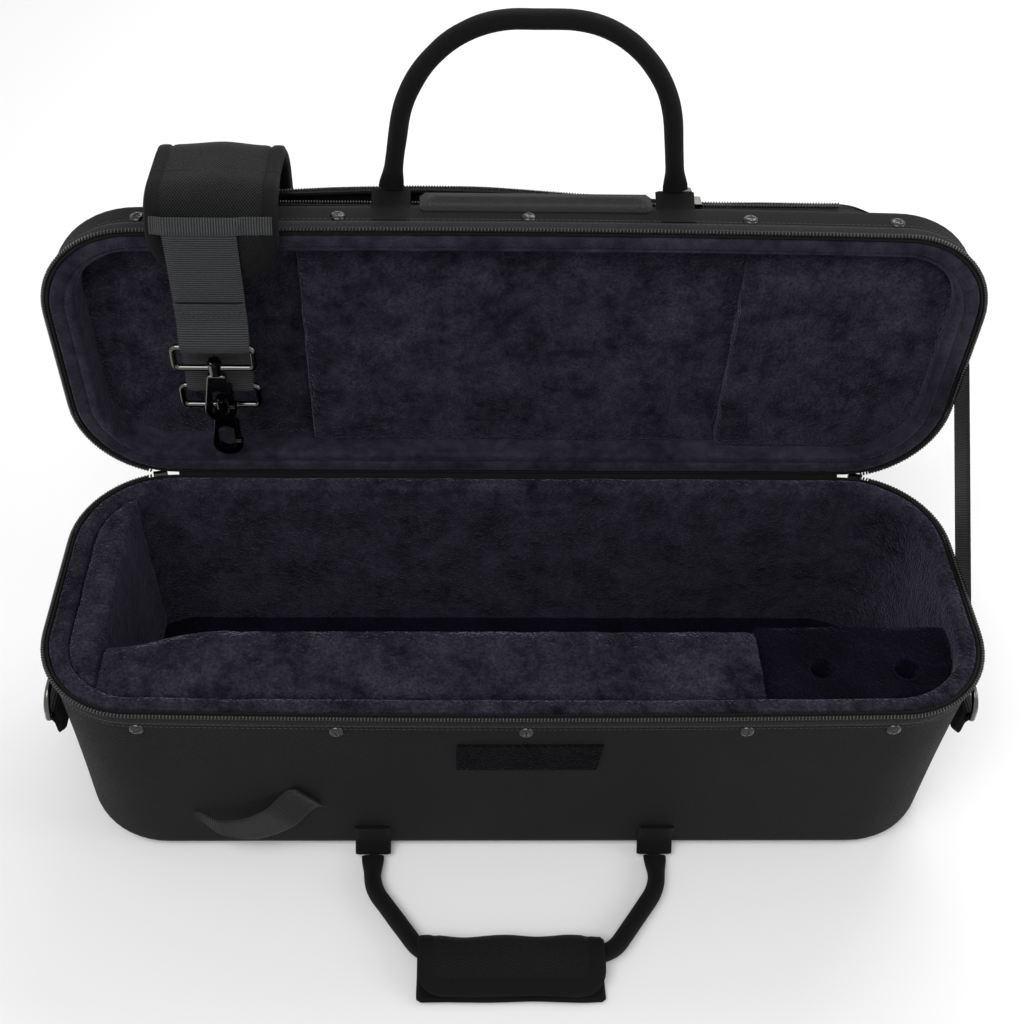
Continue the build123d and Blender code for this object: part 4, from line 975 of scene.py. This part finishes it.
# ---------------------------------------------------------------- band on the lid between the handle's roots
band_place = place_of(along, lid_up, -lid_back, on_lid(0, 0, 29.5))
band_points = rounded_route([(-56.0, 184.4), (75.0, 184.4)], [], 3.0)
band_line = stations(band_points, band_place)
bm = band(band_line, lid_back, 8.4, 2.4, 3.4, radii=(2, 2), columns=16, seam=4.0, crown=2.4)
for face in bm.faces:
    face.material_index = 0
piece(bm, "lid_band_pad", band_cloth, "lid", ["lid_band"])
for end_name, x in (("left", -50.0), ("right", 69.0)):
    edge = [on_lid(x, 186.9, depth) for depth in range(23, 36)]
    stitches(edge, lid_up, f"lid_band_stitches_{end_name}", "lid", 2.6)


# ---------------------------------------------------------------- shoulder strap
strap_place = Matrix.Translation((strap_x, 0, 0)) @ side_places["lid"]
pad_points = rounded_route([(-7.5, 157.0), (-7.5, 205.0), (64.0, 205.0), (64.0, 70.0)], [22, 22], 2.4)
pad_line = stations(pad_points, strap_place)
give_depth = 20.0
split = next(index for index, point in enumerate(pad_points) if point.x > give_depth)
squash_anchor = on_lid(0, case_depth, give_depth) * METRE


def give(obj):
    """Gives a piece of the strap's front run a mesh of its own."""
    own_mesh(obj)


pad_look = dict(half=36.0, thick=3.3, roll=3.0, radii=(28, 28), columns=44, seam=8.5, groove=1.2, crown=1.6)


def pad_length(part, name, node):
    """One of the pad's two lengths."""
    bm = band(pad_line, along, part=part, **pad_look)
    rumple(bm, 22.0, 0.5, 1.0)
    return piece(bm, name, ballistic, "lid", [node], second=binding)


give(pad_length((0, split + 1), "strap_pad_fore", "strap_pad_front"))
pad_length((split, None), "strap_pad_rear", "strap_pad")


def web(corners, radii, centre, name, node, step=2.0):
    """A run of webbing in a plane square to x."""
    points = rounded_route(corners, radii, step)
    line = stations(points, Matrix.Translation((centre, 0, 0)) @ side_places["lid"])
    bm = band(line, along, web_half, web_thick, 0.7, columns=10)
    return piece(bm, name, webbing, "lid", [node])


def round_bar(bar):
    """The corners of webbing that folds round a ring's bar."""
    s, depth = bar
    front, back = depth - bar_turn, depth + bar_turn
    return [(front, s + 3), (front, s - bar_turn), (back, s - bar_turn), (back, s + 6)]


front_run = [(-14.3, 146), (-14.3, 132), *round_bar(ring_bar), (-12.7, 132), (-12.7, 190)]
give(web(front_run, [14, 8, 2.8, 2.8, 4, 20], front_web_x, "strap_web_fore", "strap_web_front", 1.5))
inner_run = [(-4.1, 104), (-4.1, 92), *round_bar(under_ring_bar), (-2.1, 92), (-2.1, 199.6)]
inner_run.append((give_depth + 2, 199.6))
inner_radii = [14, 8, 2.8, 2.8, 4, 20, 16.6]
give(web(inner_run, inner_radii, under_web_x, "strap_web_under", "strap_web_inner", 1.5))
rear_run = [(give_depth, 199.6), (58.6, 199.6), (58.6, 24.0), (69.35, 24.0), (69.35, 104.0)]
web(rear_run, [16.6, 5.2, 5.2], under_web_x, "strap_web_back", "strap_web_rear")

for number, (x, s, depth) in enumerate(((front_web_x, 138.0, -15.15), (under_web_x, 99.0, -4.95)), 1):
    for row in (0, 1):
        edge = [on_lid(x + step, s + 2.2 * row, depth) for step in range(-16, 17, 2)]
        give(stitches(edge, -lid_back, f"strap_stitches_{number}_{row + 1}", "lid", 2.8))


def across_pad(index, left, right, lift, half, name, node):
    """A flat band over the pad and the webbing on it."""
    point, out, _ = pad_line[index]
    ahead = (pad_line[index + 1][0] - pad_line[index - 1][0]).normalized()
    place = place_of(along, out, along.cross(out), point)
    corners = [(-33.0, 2.8), (left - 4, 3.4), (left + 1, lift)]
    corners += [(right - 1, lift), (right + 4, 3.4), (33.0, 2.8)]
    line = stations(rounded_route(corners, [6, 6, 6, 6], 1.6), place)
    bm = band(line, ahead, half, 0.6, 0.6, columns=8)
    return piece(bm, name, webbing, "lid", [node])


near = min(range(len(pad_line)), key=lambda index: abs(pad_line[index][2] - 35.5))
give(across_pad(near, -26.0, 14.0, 6.4, 4.9, "pad_loop_fore", "pad_band_front"))
low = max(index for index in range(len(pad_line)) if pad_points[index].y > 88.7)
across_pad(low, -29.0, 11.0, 6.6, 4.8, "pad_loop_rear", "pad_band_rear")


# ---------------------------------------------------------------- pocket behind the lid
pocket_corners = [(-205, 32), (-199, 52), (-40, 64.5), (100, 46.5), (192, 46.5), (207, 32)]
pocket_points = rounded_route(pocket_corners, [20, 500, 300, 20], 4.0)
mouth_points = rounded_route([(-182, 47.3), (-40, 58.5), (98, 41.4)], [500], 4.0)
pocket_low, pocket_high = 13.0, 176.0
seam_depth = 41.4


def depth_at(points, x):
    """The depth of a route that runs along x."""
    for start, end in zip(points, points[1:]):
        if start.x <= x <= end.x and end.x > start.x:
            return start.y + (end.y - start.y) * (x - start.x) / (end.x - start.x)
    return points[0].y if x < points[0].x else points[-1].y


def pocket_wall():
    """The pocket's panel, sagging a little between its bottom and its zipper."""
    flat_place = place_of(along, lid_back, along.cross(lid_back), on_lid(0, 0, 0))
    line = stations(pocket_points, flat_place)
    rows = len(line) - 1
    height = pocket_high - pocket_low

    def spot(u, v):
        point, out, distance = line[round(v * rows)]
        share, face = there_and_back(u)
        sag = 1.6 * math.sin(math.pi * share) * ease(min(distance, line[-1][2] - distance), 0, 40)
        thick = 0.9 * math.sqrt(max(0.0, 1 - (2 * share - 1) ** 20))
        depth = out * (sag - 1.5 + thick * face)
        return point + depth + lid_up * (pocket_low + height * share), (distance, height * share), 0

    return close_ends(cloth(60, rows, spot))


bm = rumple(pocket_wall(), 45.0, 1.6, 4.0)
piece(bm, "pocket_cloth", nylon, "lid", ["pocket_panel"])


def panel_edge(x):
    """The inner side of the pocket's panel."""
    return depth_at(pocket_points, x) - 1.6


def mouth_edge(x):
    """The inner edge of the pocket's outer tape: it stands away from the zipper where that is open."""
    opened = depth_at(mouth_points, x) if -182 < x < 98 else seam_depth
    return max(seam_depth, opened)


def seam_edge(x):
    """The outer edge of the half of the pocket's top that is sewn to the lid."""
    return min(seam_depth - 0.6, panel_edge(x))


def lid_face(x):
    """The back of the lid, the same at every x."""
    return lid_depth


low_x = -201.0


def pocket_slab(low_s, thick, inner, outer, name, finish, node, grid=(110, 16), high_x=203.0):
    """A level sheet between two lines behind the lid, given by their depth at x."""
    def spot(u, v):
        x = low_x + (high_x - low_x) * u
        far_depth = outer(x)
        near_depth = min(far_depth - 0.2, inner(x))
        share, face = there_and_back(v)
        depth = near_depth + (far_depth - near_depth) * share
        lift = 0 if face > 0 else thick
        return on_lid(x, low_s + lift, depth), (x, depth), 0

    return piece(close_ends(cloth(*grid, spot)), name, finish, "lid", [node])


pocket_slab(pocket_low, 2.6, lid_face, panel_edge, "pocket_floor", nylon, "pocket_bottom")
tape_low = pocket_high - 2
pocket_slab(tape_low, 1.6, mouth_edge, panel_edge, "pocket_far_tape", tape_cloth, "pocket_outer_tape")
near_ends = ("pocket_near_tape", tape_cloth, "pocket_inner_tape")
pocket_slab(tape_low, 1.6, lid_face, seam_edge, *near_ends, grid=(100, 8), high_x=201.0)


def pocket_teeth(points, name, node):
    """Coil teeth along the top of the pocket."""
    flat_place = place_of(along, lid_back, along.cross(lid_back), on_lid(0, pocket_high + 1.1, 0))
    line = stations(points, flat_place)
    places = []
    for point, ahead, number in walk([place for place, _, _ in line], 1.6):
        out = line[number][1]
        places.append(place_of(ahead, out, ahead.cross(out), point))
    return piece(beads(places, pocket_tooth_size), name, coil_nylon, "lid", [node])


near_teeth = rounded_route([(-182, 40.2), (185, 40.2)], [], 6.0)
far_teeth = rounded_route([(-182, 48.4), (-40, 59.6), (98, 42.6), (185, 42.6)], [500, 60], 4.0)
pocket_teeth(near_teeth, "pocket_near_coil", "pocket_inner_chain")
pocket_teeth(far_teeth, "pocket_far_coil", "pocket_outer_chain")


# ---------------------------------------------------------------- tabs, loop and patch on the base
def ring_tab(side, side_name):
    """Webbing folded round a D-ring's bar and sewn to the end wall."""
    foot = Vector((side * case_half[0], -46, 0))
    place = place_of(along * side, straight_up, Vector((0, -side, 0)), foot)
    corners = [(0.9, 77), (0.9, 100), (1.6, 102.2), (7.2, 102.2), (7.6, 96.5), (3.4, 92), (3.3, 74)]
    line = stations(rounded_route(corners, [3, 2.6, 2.8, 3, 6], 1.0), place)
    bm = band(line, Vector((0, 1, 0)), 12.5, 0.85, 0.8, radii=(8, 9), columns=14)
    return piece(bm, "ring_tab_" + side_name, dark_webbing, "base", ["d_ring_tab_" + side_name])


ring_tab(-1, "left")
ring_tab(1, "right")


def grab_band():
    """A loop of webbing: its left end is folded to a point, its middle stands off the wall."""
    points = rounded_route([(-192.0, 34.0), (-158.0, 34.0), (-121.0, 64.0)], [36], 1.6)
    wall = place_of(along, straight_up, to_front, Vector((0, front_y, 0)))
    line = stations(points, wall)
    total = line[-1][2]
    rows = len(line) - 1

    def spot(u, v):
        point, up, distance = line[round(v * rows)]
        share, face = there_and_back(u)
        low = 9.0 - 21.5 * ease(distance, -6, 34)
        across = low + (12.5 - low) * share
        arch = 6.6 * ease(distance, 0, 16) * ease(total - distance, 6, 26)
        twist = 2.2 * (1 - ease(distance, 0, 30)) * (1 - share)
        thick = 0.8 * math.sqrt(max(0.0, 1 - (2 * share - 1) ** 12))
        lift = arch + twist + 1.0 + 1.6 * (1 - ease(total - distance, 0, 5)) + thick * face
        return point + up * across + to_front * lift, (across, distance), 0

    return close_ends(cloth(28, rows, spot))


piece(grab_band(), "grab_loop_web", dark_webbing, "base", ["grab_loop"])
loop_way = Vector((37, 0, 30)).normalized()
loop_side = Vector((-30, 0, 37)).normalized()
loop_end = Vector((-121.0, front_y - 2.1, 64.0))
for number, back in enumerate((3.5, 12.5), 1):
    edge = [loop_end - loop_way * back + loop_side * step for step in range(-9, 10, 2)]
    stitches(edge, to_front, f"grab_loop_stitches_{number}", "base", 2.6)
for number, across in enumerate((-9, 9), 3):
    edge = [loop_end - loop_way * step + loop_side * across for step in (3.5, 6.5, 9.5, 12.5)]
    stitches(edge, to_front, f"grab_loop_stitches_{number}", "base", 2.6)


patch_middle = (8.0, 108.0)
patch_half = (42.0, 13.5)
patch_slant = 3.0


def patch_spot(u, v):
    """The patch: raised pile, a sewn strip at its left and a slanting right end."""
    half_x, half_z = patch_half
    across = -half_x + u * (2 * half_x - patch_slant * (1 - v))
    upright = -half_z + 2 * half_z * v
    right_edge = half_x - across if across > 0 else far_in
    edge = min(across + half_x, right_edge, half_z - abs(upright))
    rise = 1.5 * ease(edge, -0.1, 1.4) - 0.7 * math.exp(-(((across + 36.0) / 0.7) ** 2))
    rise += 0.35 * noise.noise(Vector((across, upright, 0)) * 0.9)
    x, z = patch_middle[0] + across, patch_middle[1] + upright
    return Vector((x, front_y - 0.75 * bow_at(x) - max(0.1, rise), z)), (across, upright), 0


piece(cloth(170, 54, patch_spot), "loop_patch", loop_pile, "base", ["hook_loop_patch"])


# ---------------------------------------------------------------- hinge fabric and stay
hinge_route = rounded_route([(91.55, 128.0), (91.55, 150.0), (114.0, 149.6)], [1.0], 1.2)
bm = band(stations(hinge_route, side_places["base"]), along, 213.0, 0.5, 0.5, columns=60)
hinge = piece(bm, "hinge_strip", hinge_nylon, replaced=["hinge_fabric"])
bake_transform(hinge)

stay_top = on_lid(0, 91.0, 19.0)
stay_foot = Vector((0, -13.0, 128.0))
stay_way = (stay_top - stay_foot).normalized()
stay_start = stay_foot - stay_way * 10
stay_end = stay_top + stay_way * 4
stay_side = stay_way.cross(along)


def stay_band():
    """The stay's webbing, lying on the end wall at both ends."""
    total = (stay_end - stay_start).length
    rows = 60
    line = []
    for row in range(rows + 1):
        distance = total * row / rows
        lift = 1.2 + 2.8 * ease(distance, 8, 24) * ease(total - distance, 4, 16)
        point = stay_start + stay_way * distance + along * (case_half[0] + lift)
        line.append((point, along, distance))
    return band(line, stay_side, 12.5, 0.8, 0.7, columns=10)


stay = piece(stay_band(), "stay_web", webbing, replaced=["stay_strap"])
stay_top * METRE
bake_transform(stay)


# ---------------------------------------------------------------- finishes of the parts that show as they are
def refinish(nodes, finish):
    """Gives CAD parts their finish."""
    for node in nodes:
        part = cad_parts[node]
        part.data.materials.clear()
        part.data.materials.append(finish.material)


refinish(["base_frame", "lid_frame"], board)
metal_nodes = ["strap_ring_1", "strap_ring_2", "hook_1", "hook_2", "gate_1", "gate_2"]
metal_nodes += ["d_ring_left", "d_ring_right", "slider_left", "slider_right"]
metal_nodes += ["pull_left", "pull_right", "pocket_slider", "pocket_pull"]
refinish(metal_nodes, black_nickel)
refinish(["strap_keeper"], keeper_resin)


# ---------------------------------------------------------------- floor, light and camera
def floor_and_world():
    """A pale floor, and a background that shows white in the camera and in reflections."""
    bpy.ops.mesh.primitive_plane_add(size=12, location=(0, 0, -0.0003))
    floor = bpy.context.object
    floor.name = "studio_floor"
    paper = Finish("studio_paper", None, Base_Color=(0.86, 0.86, 0.86, 1), Roughness=0.9)
    floor.data.materials.append(paper.material)
    world = bpy.data.worlds.new("studio")
    bpy.context.scene.world = world
    world.use_nodes = True
    tree = world.node_tree
    tree.nodes.clear()
    rays = tree.nodes.new("ShaderNodeLightPath")
    white_seen = rays.outputs["Is Camera Ray"]
    for kind in ("Is Glossy Ray", "Is Transmission Ray"):
        either = tree.nodes.new("ShaderNodeMath")
        either.operation = "MAXIMUM"
        tree.links.new(white_seen, either.inputs[0])
        tree.links.new(rays.outputs[kind], either.inputs[1])
        white_seen = either.outputs[0]
    glow = tree.nodes.new("ShaderNodeBackground")
    glow.inputs["Strength"].default_value = 0.55
    white = tree.nodes.new("ShaderNodeBackground")
    white.inputs["Color"].default_value = (1, 1, 1, 1)
    pick = tree.nodes.new("ShaderNodeMixShader")
    tree.links.new(white_seen, pick.inputs[0])
    tree.links.new(glow.outputs[0], pick.inputs[1])
    tree.links.new(white.outputs[0], pick.inputs[2])
    surface = tree.nodes.new("ShaderNodeOutputWorld")
    tree.links.new(pick.outputs[0], surface.inputs[0])


def soft_box(name, place, aim, size, power):
    """A soft area lamp."""
    lamp = bpy.data.lights.new(name, "AREA")
    lamp.shape = "RECTANGLE"
    lamp.size, lamp.size_y = size
    lamp.energy = power
    made = bpy.data.objects.new(name, lamp)
    bpy.context.scene.collection.objects.link(made)
    made.location = place
    made.rotation_euler = (Vector(aim) - Vector(place)).to_track_quat("-Z", "Y").to_euler()


def camera():
    """The photograph's camera, fitted to the case's own corners."""
    place = Vector((-35.3, -497.3, 759.0))
    elevation, yaw, roll = 0.8104, -0.0291, 0.0253
    focal, middle, frame_size, sensor = 1310.83, (481.42, 485.47), 1024, 36
    turn = Matrix.Rotation(yaw, 3, "Z")
    ahead = turn @ Vector((0, math.cos(elevation), -math.sin(elevation)))
    right = turn @ along
    up = right.cross(ahead)
    across = right * math.cos(roll) + up * math.sin(roll)
    over = up * math.cos(roll) - right * math.sin(roll)
    lens = bpy.data.cameras.new("camera")
    lens.sensor_width = sensor
    lens.lens = sensor * focal / frame_size
    lens.shift_x = (frame_size / 2 - middle[0]) / frame_size
    lens.shift_y = (middle[1] - frame_size / 2) / frame_size
    made = bpy.data.objects.new("camera", lens)
    bpy.context.scene.collection.objects.link(made)
    made.matrix_world = place_of(across, over, -ahead, place * METRE)
    bpy.context.scene.camera = made


floor_and_world()
soft_box("key", (-0.5, -0.9, 1.9), (0, 0, 0.15), (1.4, 1.0), 26)
soft_box("back", (0.5, 1.4, 1.6), (0, 0.1, 0.2), (1.6, 0.8), 22)
soft_box("side", (1.7, -0.3, 1.0), (0, 0, 0.15), (0.8, 1.0), 8)
camera()
bpy.context.scene.view_settings.view_transform = "Standard"
